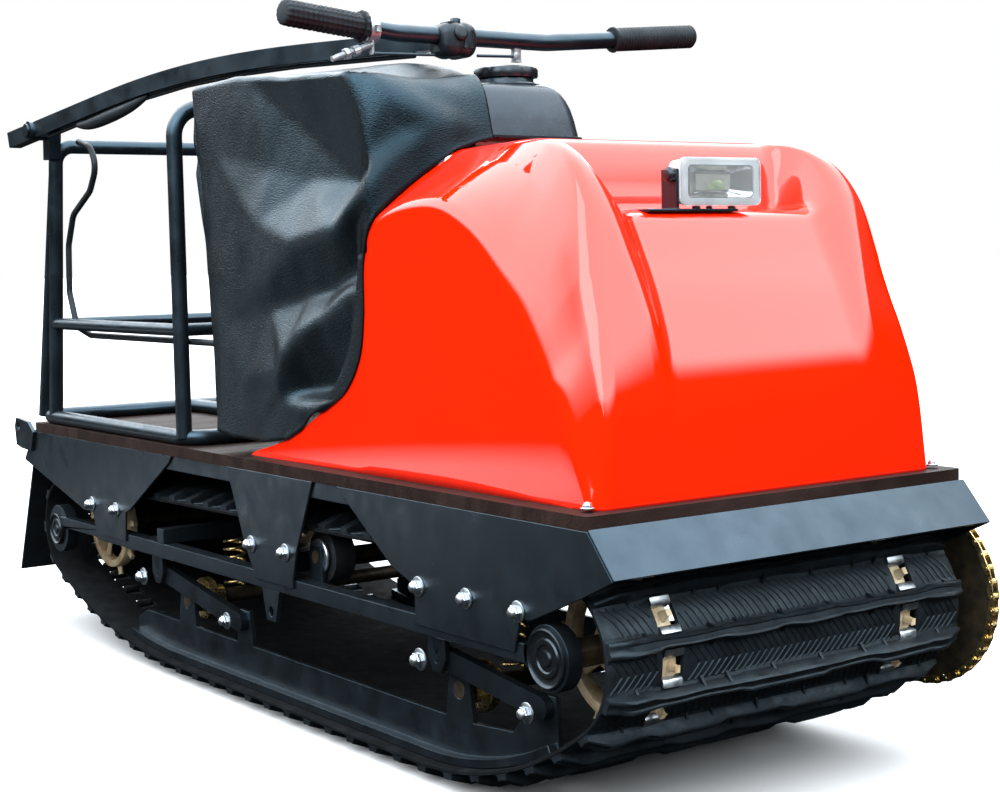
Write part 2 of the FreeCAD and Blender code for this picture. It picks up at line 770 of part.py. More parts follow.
def make_arms():
    """Four suspension arms, from brackets on the beams to the rails' ears."""
    arms = []
    brackets = []
    start = -(S["deck_width"] / 2 - S["plate_thickness"] - S["frame_tube"] - 6)
    end = -(S["rail_offset"] + S["rail_web"] / 2)
    reach = S["arm_height"] / 2
    for beam_y, rail_y, rail_z in (
            (S["front_arm_beam_y"], S["front_arm_rail_y"], S["front_arm_rail_z"]),
            (S["rear_arm_beam_y"], S["rear_arm_rail_y"], S["rear_arm_rail_z"])):
        upper, lower = (beam_y, S["arm_pivot_z"]), (rail_y, rail_z)
        lean = math.atan2(upper[1] - lower[1], upper[0] - lower[0])
        side = lean + math.pi / 2
        outline = [curve_edge(polar(upper, reach, side), polar(upper, reach, lean),
                              polar(upper, reach, lean - math.pi / 2))]
        outline.append(curve_edge(polar(lower, reach, side), polar(lower, reach, lean + math.pi),
                                  polar(lower, reach, lean - math.pi / 2)))
        outline += open_wire([polar(upper, reach, side), polar(lower, reach, side)])
        outline += open_wire([polar(upper, reach, lean - math.pi / 2),
                              polar(lower, reach, lean - math.pi / 2)])
        arm = across(Part.Wire(Part.sortEdges(outline)[0]), start, end)
        pins = [bar((start - 6, *upper), (end, *upper), S["pivot_radius"]),
                bar((start, *lower), (end + S["rail_web"], *lower), S["pivot_radius"])]
        arms.append(shaped(arm.fuse(pins).removeSplitter()))
        half = 17
        top = S["beam_mid_z"] + S["frame_tube"] / 2
        face = [(beam_y - half, top), (beam_y - half, S["arm_pivot_z"]),
                (beam_y - 8, S["arm_pivot_z"] - 15), (beam_y + 8, S["arm_pivot_z"] - 15),
                (beam_y + half, S["arm_pivot_z"]), (beam_y + half, top)]
        brackets.append(plate(polygon(face) + hole(*upper, S["pivot_radius"]),
                              f"-{ARM_OUT} - 6", 6))
    node("suspension_arms", group(*arms, *[mirrored(arm) for arm in arms]))
    post = plate(polygon([(S["support_roller_y"] - 16, S["beam_mid_z"] - 10),
                          (S["support_roller_y"] + 16, S["beam_mid_z"] - 10),
                          (S["support_roller_y"] + 13, support_z() + 13),
                          (S["support_roller_y"] - 13, support_z() + 13)])
                 + hole(S["support_roller_y"], support_z(), S["support_shaft_radius"]),
                 f"-{ARM_OUT} - 6", 6)
    brackets.append(post)
    node("beam_brackets", group(*brackets, *[mirrored(item) for item in brackets]))


def support_z():
    """Height of the support rollers' axle: they touch the top run of the belt."""
    top = sum(track.lengths[:5])
    share = (S["support_roller_y"] - track.at(top + 1)[0]) / (S["drive_axle_y"]
                                                             - track.at(top + 1)[0])
    belt = track.at(top + track.lengths[5] * share, -S["belt_thickness"] / 2)[1]
    return belt - S["support_roller_radius"] - 0.3


def make_support_rollers():
    y, z = S["support_roller_y"], support_z()
    half = S["deck_width"] / 2 - S["plate_thickness"] - S["frame_tube"]
    node("support_shaft", shaped(bar((-half, y, z), (half, y, z), S["support_shaft_radius"])))
    width = S["support_roller_width"]
    roller = bar((-232, y, z), (-232 + width, y, z), S["support_roller_radius"])
    boss = bar((-236, y, z), (-236 + width + 8, y, z), 14)
    bore = bar((-300, y, z), (0, y, z), S["support_shaft_radius"])
    node("support_rollers", pair(shaped(roller.fuse(boss).removeSplitter().cut(bore))))


def make_springs():
    """Coil springs that stand on the carrier axles, under the cross tubes."""
    low = S["carrier_z"] + S["carrier_radius"]
    high = S["beam_mid_z"] + S["frame_tube"] / 2
    wire = S["spring_wire"] / 2
    turns = 6
    rise = high - low - 2 * wire
    helix = Part.makeHelix(rise / turns, rise, S["spring_radius"] - wire)
    ring = Part.Wire(Part.makeCircle(wire, Vector(S["spring_radius"] - wire, 0, 0),
                                     Vector(0, 1, 0)))
    coil = Part.Wire(helix).makePipeShell([ring], True, True)
    springs = []
    for y in (S["front_carrier_y"], S["rear_carrier_y"]):
        for side in (-1, 1):
            copy = coil.copy()
            copy.translate(Vector(side * S["spring_offset"], y, low + wire))
            springs.append(copy)
    node("suspension_springs", shaped(Part.makeCompound(springs)))


def make_lashing_eyes():
    y, z = S["lashing_eye_y"], S["lashing_eye_z"]
    low = S["beam_mid_z"] - S["frame_tube"] / 2
    eye = plate(polygon([(y - 22, low), (y - 11, z - 12), (y + 11, z - 12), (y + 22, low)])
                + hole(y, z, S["lashing_hole_radius"]), f"-{SIDE_IN}", 5)
    node("lashing_eyes", pair(eye))


# ---------------------------------------------------------------- chain drive

def make_chain_drive():
    """The driven wheel on the drive shaft, the chain, and the jackshaft from the engine."""
    low = (S["drive_axle_y"], S["drive_axle_z"])
    high = (S["jackshaft_y"], S["jackshaft_z"])
    half = S["chain_height"] / 2
    mid = S["chain_mid_x"]

    def belt(big, small):
        """Outline around both wheels."""
        span = math.dist(low, high)
        lean = math.atan2(high[1] - low[1], high[0] - low[0])
        turn = math.acos((big - small) / span)
        marks = [polar(low, big, lean + turn), polar(low, big, lean + math.pi),
                 polar(low, big, lean - turn), polar(high, small, lean - turn),
                 polar(high, small, lean), polar(high, small, lean + turn)]
        edges = [curve_edge(*marks[:3]), curve_edge(*marks[3:])]
        edges += open_wire([marks[2], marks[3]]) + open_wire([marks[5], marks[0]])
        return Part.Wire(Part.sortEdges(edges)[0])

    big, small = S["driven_pitch_radius"], S["driver_pitch_radius"]
    face = ring_face(belt(big + half, small + half), belt(big - half, small - half))
    width = S["chain_width"] / 2
    node("drive_chain", shaped(across(face, mid - width, mid + width)))
    disc = bar((mid - 3, *low), (mid + 3, *low), big - half)
    hub = bar((mid - 10, *low), (mid + 10, *low), 26)
    bore = bar((0, *low), (mid + 60, *low), S["drive_shaft_radius"])
    node("driven_sprocket", shaped(disc.fuse(hub).removeSplitter().cut(bore)))
    start = S["engine_half_width"]
    shaft = bar((start, *high), (mid + 8, *high), S["jackshaft_radius"])
    pinion = bar((mid - 3, *high), (mid + 3, *high), small - half)
    node("jackshaft", shaped(shaft.fuse(pinion).removeSplitter()))
    y, z, reach = S["jackshaft_y"], S["jackshaft_z"], 22
    base = S["deck_top_z"]
    stand = plate(polygon([(y - 34, base), (y + 34, base), (y + 34, base + 8),
                           (y + reach, z), (y + 14, z + reach - 4), (y - 14, z + reach - 4),
                           (y - reach, z), (y - 34, base + 8)])
                  + hole(y, z, S["jackshaft_radius"]), "hood_half_width + 6", 16)
    node("jackshaft_stand", stand)


# ---------------------------------------------------------------- cargo basket

# Slivers that a saddle cut leaves outside a tube are smaller than this, in cubic millimetres.
SCRAP = 2000


def make_basket():
    """The cargo basket: a rim on the deck, a hoop, a leaning rear frame, braces and rails."""
    half = S["basket_half_width"]
    radius = S["basket_tube_radius"]
    foot = S["deck_top_z"] + radius
    front, rear = S["basket_front_y"] - 15, S["basket_rear_y"]
    rim = tube(bent_path([(-half, front, foot), (-half, rear, foot), (half, rear, foot),
                          (half, front, foot)], 30, closed=True), radius)
    middle = bar((0, front, foot), (0, rear, foot), radius)
    rim = rim.fuse(middle).removeSplitter()
    node("basket_rim", shaped(rim))
    y, top = S["basket_front_y"], S["basket_hoop_z"]
    hoop = tube(bent_path([(-half, y, foot), (-half, y, top), (half, y, top), (half, y, foot)],
                          38), radius).cut(rim)
    node("basket_hoop", shaped(hoop))
    foot_y, top_y, top_z = S["rear_post_foot_y"], S["rear_post_top_y"], S["rear_post_top_z"]
    frame = tube(bent_path([(-half, foot_y, foot), (-half, top_y, top_z), (half, top_y, top_z),
                            (half, foot_y, foot)], 26), radius).cut(rim)
    node("basket_rear_frame", shaped(frame))
    brace = bar((-half, S["brace_foot_y"], foot), (-half, top_y + 8, top_z - 34), radius - 2)
    brace = brace.cut(rim).cut(frame)
    brace = max(brace.Solids, key=lambda solid: solid.Volume)
    node("basket_braces", pair(shaped(brace)))
    z = S["basket_rail_z"]
    rail_y = foot_y + (top_y - foot_y) * (z - foot) / (top_z - foot)
    side = bar((-half, y, z), (-half, rail_y, z), radius - 2)
    other = bar((half, y, z), (half, rail_y, z), radius - 2)
    ends = [bar((-half, end, z), (half, end, z), radius - 2) for end in (y, rail_y)]
    rails = side.fuse([other] + ends).removeSplitter().cut(hoop).cut(frame)
    rails = [solid for solid in rails.Solids if solid.Volume > SCRAP]
    node("basket_mid_rails", shaped(Part.makeCompound(rails)))
    return frame


# ---------------------------------------------------------------- steering arm

def arm_direction():
    """Unit vector, level, from the hinge towards the clamp on the handlebar."""
    run = Vector(S["clamp_mid_x"] - S["hinge_x"],
                 S["bar_y"] + S["clamp_depth"] / 2 - S["hinge_y"], 0)
    length = run.Length
    return run.normalize(), length


# The arm's centre line: distance ahead of the hinge and height above it.
ARM_LINE = ((-58, -11), (0, 0), (101, 19), (216, 40), (365, 58), (500, 64), (640, 63))


def arm_curve():
    """The arm's centre line in its own upright plane, from tail to clamp."""
    _, length = arm_direction()
    last = (length, S["bar_z"] - 2 - S["hinge_z"])
    return [Vector(along, rise, 0) for along, rise in ARM_LINE + (last,)], length


def arm_offset(points, distance):
    """The same line moved up by a distance, square to it."""
    spline = Part.BSplineCurve()
    spline.interpolate(points)
    moved = []
    for point in points:
        tangent = spline.tangent(spline.parameter(point))[0]
        moved.append(point + Vector(-tangent.y, tangent.x, 0) * distance)
    curve = Part.BSplineCurve()
    curve.interpolate(moved)
    return curve


def in_arm_plane(shape):
    """Stand a shape drawn in (along, rise, side) up in the arm's plane."""
    run, _ = arm_direction()
    turn = math.degrees(math.atan2(run.y, run.x))
    shape.rotate(Vector(), Vector(1, 0, 0), 90)
    shape.rotate(Vector(), Vector(0, 0, 1), turn)
    shape.translate(Vector(S["hinge_x"], S["hinge_y"], S["hinge_z"]))
    return shape


def make_steering(frame):
    """The folding steering arm with its hinge, handlebar, grips and controls."""
    hx, hy, hz = S["hinge_x"], S["hinge_y"], S["hinge_z"]
    reach = S["arm_bar_width"] / 2 + S["hinge_boss_proud"]
    boss_in, boss_out = hx + reach, hx - reach
    gap = S["hinge_side_gap"]
    # the lug on the post's top, with the pin fixed in it
    lug_x = boss_in + gap
    post_y, post_z = S["rear_post_top_y"], S["rear_post_top_z"]
    lug = across(upright([(hy - 14, hz), (hy - 10, hz + 10), (hy, hz + 14), (hy + 10, hz + 10),
                          (hy + 14, hz), (post_y + 12, post_z - 20), (post_y - 12, post_z - 20)]),
                 lug_x, -S["basket_half_width"] + 2)
    pin = bar((lug_x, hy, hz), (boss_out - gap, hy, hz), S["hinge_pin_radius"])
    head = bar((boss_out - gap, hy, hz), (boss_out - gap - 4, hy, hz), 10)
    lug = lug.cut(frame)
    lug = max(lug.Solids, key=lambda solid: solid.Volume)
    node("steering_hinge", shaped(lug.fuse([pin, head]).removeSplitter()))

    points, length = arm_curve()
    half = S["arm_bar_height"] / 2
    upper, lower = arm_offset(points, half), arm_offset(points, -half)
    ends = [Part.LineSegment(lower.StartPoint, upper.StartPoint).toShape(),
            Part.LineSegment(upper.EndPoint, lower.EndPoint).toShape()]
    outline = Part.Wire(Part.sortEdges([upper.toShape(), lower.toShape()] + ends)[0])
    width = S["arm_bar_width"]
    profile = Part.Face(outline)
    profile.translate(Vector(0, 0, -width / 2))
    arm = in_arm_plane(profile.extrude(Vector(0, 0, width)))
    boss = bar((boss_in, hy, hz), (boss_out, hy, hz), 14)
    bore = bar((boss_in + 1, hy, hz), (boss_out - 1, hy, hz),
               S["hinge_pin_radius"] + S["hinge_clearance"])
    clamp_back = S["bar_y"] + S["clamp_depth"] / 2
    trim = Part.makeBox(200, 200, 200, Vector(S["clamp_mid_x"] - 100, clamp_back - 200,
                                              S["bar_z"] - 100))
    arm = arm.fuse(boss).removeSplitter().cut(bore).cut(trim)
    node("steering_arm", shaped(arm))

    clamp_x, clamp_w = S["clamp_mid_x"], S["clamp_width"]
    bar_y, bar_z, bar_r = S["bar_y"], S["bar_z"], S["bar_radius"]
    half, end_y, over = S["bar_half_length"], bar_y - S["bar_sweep"], S["grip_overhang"]
    right = [Vector(S["bar_mid_x"] - half, end_y, bar_z + S["bar_right_rise"]),
             Vector(S["bar_right_bend_x"], bar_y, bar_z)]
    left = [Vector(S["bar_mid_x"] + half, end_y, bar_z + S["bar_left_rise"]),
            Vector(S["bar_left_bend_x"], bar_y, bar_z)]
    handlebar = tube(bent_path(right + left[::-1], S["bar_bend_radius"]), bar_r)
    node("handlebar", shaped(handlebar))
    grips = []
    for (end, bend), name in ((right, "right_grip_length"), (left, "left_grip_length")):
        run = (bend - end).normalize()
        sleeve = Part.makeCylinder(S["grip_radius"], S[name] + over, end - run * over, run)
        grips.append(sleeve.cut(handlebar))
    node("grips", shaped(Part.makeCompound(grips)))

    clamp = Part.makeBox(clamp_w, S["clamp_depth"], S["clamp_height"],
                         Vector(clamp_x - clamp_w / 2, bar_y - S["clamp_depth"] / 2,
                                bar_z - S["clamp_height"] / 2))
    clamp = clamp.makeFillet(S["clamp_edge"], [
        edge for edge in clamp.Edges
        if abs(edge.tangentAt(edge.FirstParameter).x) > 0.9])
    node("bar_clamp", shaped(clamp.cut(handlebar)))
    make_bar_controls(handlebar, clamp)


def make_bar_controls(handlebar, clamp):
    """The lever perch beside the right grip, the link rod, and the bracket it pulls on."""
    bar_y, bar_z = S["bar_y"], S["bar_z"]
    perch_x = S["perch_x"]
    ring = bar((perch_x, bar_y, bar_z + 3), (perch_x + S["perch_width"], bar_y, bar_z + 3), 15)
    ear_plate = across(upright([(bar_y - 4, bar_z - 8), (bar_y - 14, bar_z - 12),
                                (bar_y - 14, bar_z - 34), (bar_y + 2, bar_z - 34),
                                (bar_y + 6, bar_z - 8)]), perch_x, perch_x + 8)
    screw = bar((perch_x - 56, bar_y - 6, bar_z - 36), (perch_x + 2, bar_y - 6, bar_z - 16), 4)
    perch = ring.fuse([ear_plate, screw]).removeSplitter().cut(handlebar)
    node("lever_perch", shaped(perch))
    bracket_x = S["pull_bracket_x"]
    post = Part.makeBox(18, 14, 20, Vector(bracket_x - 9, bar_y - 7, bar_z - 26))
    node("pull_bracket", shaped(post.cut(handlebar)))
    start = (perch_x + 8, bar_y - 6, bar_z - 26)
    end = (bracket_x - 9, bar_y - 6, bar_z - 20)
    rod = bar(start, end, 1.8).cut(clamp)
    node("link_rod", shaped(rod))


# ---------------------------------------------------------------- cables

def cable(points, radius, bend):
    return tube(bent_path(points, bend), radius)


def make_cables():
    """The control cable: one run under the arm, and one down the basket's post."""
    run, _ = arm_direction()
    points, _ = arm_curve()
    reach = S["arm_bar_height"] / 2 + S["arm_cable_radius"] + 0.4
    low = arm_offset(points, -reach)
    route = []
    for along in (30, 90, 160, 240, 340, 450, 560, 670, 760):
        spot = nearest(low, along)
        route.append((S["hinge_x"] + run.x * spot.x, S["hinge_y"] + run.y * spot.x,
                      S["hinge_z"] + spot.y))
    node("arm_cable", shaped(cable(route, S["arm_cable_radius"], 180)))
    x = -S["basket_half_width"] + S["basket_tube_radius"] + 5
    post = [(x, 560, 752), (x, 518, 742), (x, 497, 714), (x, 524, 678), (x, 590, 645),
            (x, 612, 600), (x, 616, 530), (x, 592, 478), (x, 540, 466), (x, 129.6, 466)]
    node("post_cable", shaped(cable(post, S["post_cable_radius"], 26)))


def nearest(curve, along):
    """The point of a curve in the arm's plane that is a given distance ahead."""
    low, high = curve.FirstParameter, curve.LastParameter
    for _ in range(40):
        middle = (low + high) / 2
        if curve.value(middle).x < along:
            low = middle
        else:
            high = middle
    return curve.value(low)


# ---------------------------------------------------------------- bodywork

def spline_edge(points):
    curve = Part.BSplineCurve()
    curve.interpolate([Vector(0, *point) for point in points])
    return curve.toShape()


def hood_edge(shift):
    """The hood's rear edge seen from the side, from the deck up, moved back by shift."""
    low = [(S["hood_tail_y"] + shift, S["deck_top_z"] - 4), (-60 + shift, 356),
           (-160 + shift, 404), (-218 + shift, 466), (-238 + shift, 530), (-250 + shift, 598),
           (-286 + shift, 662), (-318 + shift, 702), (-332 + shift, 745)]
    return low


def hood_outer(inset):
    """The hood's outer body, moved in by an inset, before it is hollowed."""
    base, top = S["deck_top_z"], S["hood_top_z"] - inset
    front = [(-655, base - 1), (-645, 420), (-628, 505), (-600, 580), (-560, 640), (-505, 680),
             (-440, S["hood_top_z"])]
    front = [(y + inset, z) for y, z in front[:3]] + [(y + inset * 0.8, z - inset * 0.5)
                                                     for y, z in front[3:6]] + [(-440, top)]
    side = [spline_edge(front)]
    side += open_wire([(-440, top), (120, top), (120, base - 1), front[0]])
    half = S["hood_half_width"] - inset
    profile = across(Part.Wire(side), -half - 20, half + 20)
    edge = S["hood_edge_radius"] - inset
    arch = Part.makeBox(2 * half, 1000, top - base + 1, Vector(-half, -700, base - 1))
    arch = arch.makeFillet(edge, [item for item in arch.Edges
                                  if item.CenterOfMass.z > top - 1
                                  and abs(item.CenterOfMass.x) > half - 1])
    plan = Part.makeBox(2 * half, 900, 600, Vector(-half, S["hood_front_y"] + inset, base - 1))
    plan = plan.makeFillet(edge, [item for item in plan.Edges
                                  if item.CenterOfMass.y < S["hood_front_y"] + inset + 1
                                  and abs(item.CenterOfMass.x) > half - 1])
    return profile.common(arch).common(plan)


def recess_tool(grow):
    """What is taken out between the two fenders, grown by a wall."""
    shelf = S["shelf_z"] - grow
    outline = [(-720, 492 - grow), (-632, 492 - grow), (-576 + grow * 0.5, shelf),
               (-502 + grow, shelf), (-486 + grow, 760), (-720, 760)]
    half = S["recess_half_width"] + grow
    return across(upright(outline), -half, half)


def make_hood():
    """A moulded shell with two fenders, a sunk panel and a shelf for the lamp."""
    wall = S["hood_wall"]
    outer = hood_outer(0).cut(recess_tool(0))
    inner = hood_outer(wall).cut(recess_tool(wall))
    shell = outer.cut(inner)
    base = S["deck_top_z"]
    edge = hood_edge(0)
    behind = [spline_edge(edge)] + open_wire([edge[-1], (400, edge[-1][1]), (400, edge[0][1]),
                                              edge[0]])
    shell = shell.cut(across(Part.Wire(behind), -400, 400))
    shell = shell.cut(Part.makeBox(900, 2000, 20, Vector(-450, -1000, base - 20)))
    hole_tool = bar((180, S["jackshaft_y"], S["jackshaft_z"]),
                    (260, S["jackshaft_y"], S["jackshaft_z"]), S["jackshaft_radius"] + 6)
    shell = shell.cut(hole_tool)
    node("hood", shaped(shell.removeSplitter()))


def cover_body(inset):
    """The draped cover's outer body, moved in by an inset."""
    rear, top = S["cover_rear_y"] - inset, S["cover_top_z"] - inset
    bottom = S["cover_bottom_z"] - (10 if inset else 0)
    outline = [(rear, top), (109 - inset, bottom), (-400, bottom), (-400, 705 - inset),
               (-322, 705 - inset), (-262, 772 - inset), (-123, 798 - inset)]
    half = S["cover_half_width"] - inset
    body = across(upright(outline), -half, half)
    back, floor = S["cover_step_y"] + inset, S["cover_step_z"] - inset
    step = across(upright([(-500, floor), (back, floor), (back, 900), (-500, 900)]),
                  S["cover_step_x"] - inset, 400)
    return body.cut(step)


def make_cover():
    """A leather-cloth cover over the engine, with an opening for the tank."""
    wall = S["cover_wall"]
    shell = cover_body(0).cut(cover_body(wall))
    edge = hood_edge(S["cover_gap"])
    ahead = [spline_edge(edge)] + open_wire([edge[-1], (-800, edge[-1][1]), (-800, edge[0][1]),
                                             edge[0]])
    shell = shell.cut(across(Part.Wire(ahead), -400, 400))
    shell = shell.cut(tank_body(3))
    node("engine_cover", shaped(max(shell.Solids, key=lambda solid: solid.Volume)))


def tank_body(grow):
    width, depth = S["tank_width"] + 2 * grow, S["tank_depth"] + 2 * grow
    tank = Part.makeBox(width, depth, S["tank_top_z"] - S["tank_bottom_z"] + 2 * grow,
                        Vector(S["tank_mid_x"] - width / 2, S["tank_mid_y"] - depth / 2,
                               S["tank_bottom_z"] - grow))
    return tank.makeFillet(S["tank_edge"], [edge for edge in tank.Edges
                                            if edge.CenterOfMass.z > S["tank_bottom_z"]])


def make_engine():
    crankcase = block("-engine_half_width", "engine_half_width", "engine_front_y",
                      "engine_rear_y", "deck_top_z", "engine_head_z")
    head = block("-engine_head_half_width", "engine_head_half_width", "engine_front_y",
                 "engine_rear_y", "engine_head_z", "tank_bottom_z")
    node("engine_block", fuse(crankcase, head))
    node("fuel_tank", shaped(tank_body(0)))
    y, low = S["tank_mid_y"], S["tank_top_z"]
    neck_top = low + S["cap_neck_height"]
    neck = bar((0, y, low), (0, y, neck_top), S["cap_radius"] - 6)
    lid = bar((0, y, neck_top), (0, y, low + S["cap_height"]), S["cap_radius"])
    node("fuel_cap", shaped(neck.fuse(lid).removeSplitter()))


def make_lamp():
    """A rectangular headlamp on an upright bracket, on the hood's shelf."""
    width, height, lens_depth = S["lamp_width"], S["lamp_height"], S["lamp_lens_depth"]
    side, front = S["lamp_mid_x"] - width / 2, S["lamp_front_y"]
    low = S["shelf_z"] + S["lamp_lift"]

    def rounded(start, depth):
        box = Part.makeBox(width, depth, height, Vector(side, start, low))
        return shaped(box.makeFillet(S["lamp_edge"], [
            edge for edge in box.Edges if abs(edge.tangentAt(edge.FirstParameter).y) > 0.9]))

    node("headlamp_body", rounded(front + lens_depth, S["lamp_depth"] - lens_depth))
    node("headlamp_lens", rounded(front, lens_depth))
    base = Part.makeBox(S["lamp_foot_width"], 34, 3,
                        Vector(side - S["lamp_foot_overhang"], front + 6, S["shelf_z"]))
    upright_plate = Part.makeBox(4, 24, 44, Vector(side - 4, front + 8, S["shelf_z"]))
    node("headlamp_bracket", shaped(base.fuse(upright_plate).removeSplitter()))


# ---------------------------------------------------------------- rear end

def make_rear_end():
    y, z = S["lug_ear_y"], S["lug_ear_z"]
    ear_plate = plate(polygon([(y - 62, z - 6), (y - 40, z + 9), (y + 8, z + 13), (y + 15, z),
                               (y + 10, z - 30), (y - 10, z - 34), (y - 50, z - 36)])
                      + hole(y, z, S["tow_hole_radius"]), "-deck_width / 2 - 6", 6)
    node("tow_ears", pair(ear_plate))
    top_y = S["deck_rear_y"] + S["rear_deflector_reach"]
    top_z = S["deck_top_z"] - S["deck_thickness"] - S["rear_deflector_drop"]
    low_y, low_z, thick = S["flap_low_y"], S["flap_low_z"], S["flap_thickness"]
    flap = [(top_y, top_z), (top_y + thick, top_z), (low_y, low_z), (low_y - thick, low_z)]
    node("mud_flap", plate(polygon(flap), "-flap_width / 2", "flap_width"))


def build():
    make_deck()
    make_deck_frame()
    make_deflectors()
    make_side_plates()
    make_beams()
    make_cross_tubes()
    make_wheels()
    make_rails()
    make_carriers()
    make_arms()
    make_support_rollers()
    make_springs()
    make_lashing_eyes()
    make_chain_drive()
    frame = make_basket()
    make_steering(frame)
    make_cables()
    make_hood()
    make_cover()
    make_engine()
    make_lamp()
    make_rear_end()


def export():
    """Check every object, then write one STEP file for each node."""
    document.recompute()
    for item in document.Objects:
        if "Invalid" in item.State or "Error" in item.State:
            raise RuntimeError(f"{item.Name} ({item.Label}) failed: {item.State}")
    os.makedirs("parts", exist_ok=True)
    for item in NODES:
        shape = item.Shape
        if shape.isNull() or not shape.isValid():
            raise RuntimeError(f"{item.Label} has no valid shape")
        shape.exportStep(f"parts/{item.Label}.step")
        print(f"{item.Label}: {len(shape.Solids)} solids, {shape.Volume / 1000:.1f} cm3")
    print(f"track: {track.count} lugs, pitch {track.pitch:.3f}, length {track.length:.1f}")


build()
export()
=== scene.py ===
"""Finish of a tracked snow towing vehicle: bodywork, cloth, rubber, controls and fastenings."""

import math
from functools import cache

import bmesh
import bpy
import numpy as np
from bpy.props import FloatProperty, FloatVectorProperty, PointerProperty
from bpy.types import Operator, Panel, PropertyGroup
from mathutils import Matrix, Vector
from mathutils.geometry import delaunay_2d_cdt


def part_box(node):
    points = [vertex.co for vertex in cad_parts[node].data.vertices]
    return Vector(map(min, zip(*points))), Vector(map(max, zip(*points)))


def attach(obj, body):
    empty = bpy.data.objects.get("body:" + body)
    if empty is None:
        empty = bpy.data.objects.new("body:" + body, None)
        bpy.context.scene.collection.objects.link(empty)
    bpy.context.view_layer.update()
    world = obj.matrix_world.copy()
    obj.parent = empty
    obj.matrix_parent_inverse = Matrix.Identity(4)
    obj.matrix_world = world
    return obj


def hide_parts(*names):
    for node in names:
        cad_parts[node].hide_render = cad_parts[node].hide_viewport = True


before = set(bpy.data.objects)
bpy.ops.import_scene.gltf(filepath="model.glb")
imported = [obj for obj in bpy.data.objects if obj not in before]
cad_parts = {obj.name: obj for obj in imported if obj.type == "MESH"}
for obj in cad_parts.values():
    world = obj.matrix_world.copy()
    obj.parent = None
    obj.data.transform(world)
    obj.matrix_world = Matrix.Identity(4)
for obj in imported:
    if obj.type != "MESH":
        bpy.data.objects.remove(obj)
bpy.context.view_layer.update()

bl_info = {
    "name": "Snow Towing Vehicle",
    "version": (1, 0, 0),
    "blender": (4, 5, 0),
    "location": "3D Viewport > Sidebar > Tow Vehicle",
    "description": "Builds the finished surfaces of a tracked snow towing vehicle",
    "category": "Object",
}

MM = 0.001
CHASSIS, STEERING = "chassis", "steering"


# ---------------------------------------------------------------- settings

def span(name):
    """Lowest and highest corner of a CAD node, in millimetres."""
    low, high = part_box(name)
    return np.array(low) / MM, np.array(high) / MM


HOOD = span("hood")
TRACK = span("track")


def colour_field(name, description, default):
    return FloatVectorProperty(name=name, description=description, subtype="COLOR", size=4,
                               min=0, max=1, default=(*default, 1))


def length_field(name, description, default, low, high):
    return FloatProperty(name=name, description=description, unit="LENGTH", default=default,
                         min=low, max=high)


class BodySettings(PropertyGroup):
    """Sizes and colours of the hood, the cover and the tank."""

    hood_colour: colour_field(
        "Hood colour", "Gel coat of the moulded hood", (0.78, 0.0120, 0.0004))
    hood_wall: length_field(
        "Hood wall", "Thickness of the moulded shell", 0.0035, 0.001, 0.01)
    cover_colour: colour_field(
        "Cover colour", "Leather cloth over the engine", (0.0052, 0.0064, 0.0074))
    cover_wall: length_field(
        "Cover cloth", "Thickness of the leather cloth", 0.0022, 0.0005, 0.006)
    fold_depth: FloatProperty(
        name="Fold depth", description="How strongly the cover's folds stand out",
        default=1.0, min=0, max=2)
    tank_colour: colour_field("Tank colour", "Moulded fuel tank", (0.0085, 0.0115, 0.0145))


class RunningSettings(PropertyGroup):
    """Sizes and colours of the track, its wheels and the chain."""

    belt_pitch: length_field("Belt pitch", "Distance from lug to lug", 0.0505, 0.02, 0.1)
    belt_thickness: length_field(
        "Belt thickness", "Rubber between the lugs", 0.005, 0.002, 0.02)
    lug_height: length_field("Lug height", "Lug tip above the belt", 0.0175, 0.005, 0.05)
    rib_pitch: length_field(
        "Rib pitch", "Distance between the slanting fine ribs", 0.009, 0.004, 0.03)
    chain_pitch: length_field(
        "Chain pitch", "Distance from pin to pin of the roller chain", 0.015875, 0.008, 0.03)
    rubber_colour: colour_field(
        "Rubber colour", "Track and mud flap", (0.0034, 0.0040, 0.0046))
    tooth_colour: colour_field("Tooth colour", "Cast drive wheels", (0.50, 0.41, 0.27))


class FrameSettings(PropertyGroup):
    """Colours of the painted steel and the deck, and sizes of edges and bolts."""

    paint_colour: colour_field(
        "Frame paint", "Powder coat on all welded steel", (0.0028, 0.0034, 0.0040))
    deck_colour: colour_field("Deck film", "Film on the plywood deck", (0.014, 0.0075, 0.0062))
    edge_bevel: length_field(
        "Edge bevel", "Rounding on sawn and folded steel edges", 0.0009, 0.0002, 0.004)
    bolt_size: length_field(
        "Bolt size", "Across the flats of a frame bolt", 0.013, 0.006, 0.024)


class StageSettings(PropertyGroup):
    """The floor, the light and the viewpoint."""

    floor_colour: colour_field("Floor colour", "Plain pale floor", (0.26, 0.263, 0.267))
    lens: FloatProperty(
        name="Lens", description="Focal length on a 36 mm wide sensor, in millimetres",
        default=64.36, min=20, max=200)
    soft_box: FloatProperty(
        name="Soft box", description="Power of the large lamp, in watts", default=120,
        min=0, max=2000)
    ambient: FloatProperty(
        name="Ambient", description="Brightness of the surround", default=5.4, min=0, max=12)


def body_settings():
    return bpy.context.scene.tow_body


def running_settings():
    return bpy.context.scene.tow_running


def frame_settings():
    return bpy.context.scene.tow_frame


# ---------------------------------------------------------------- surfaces

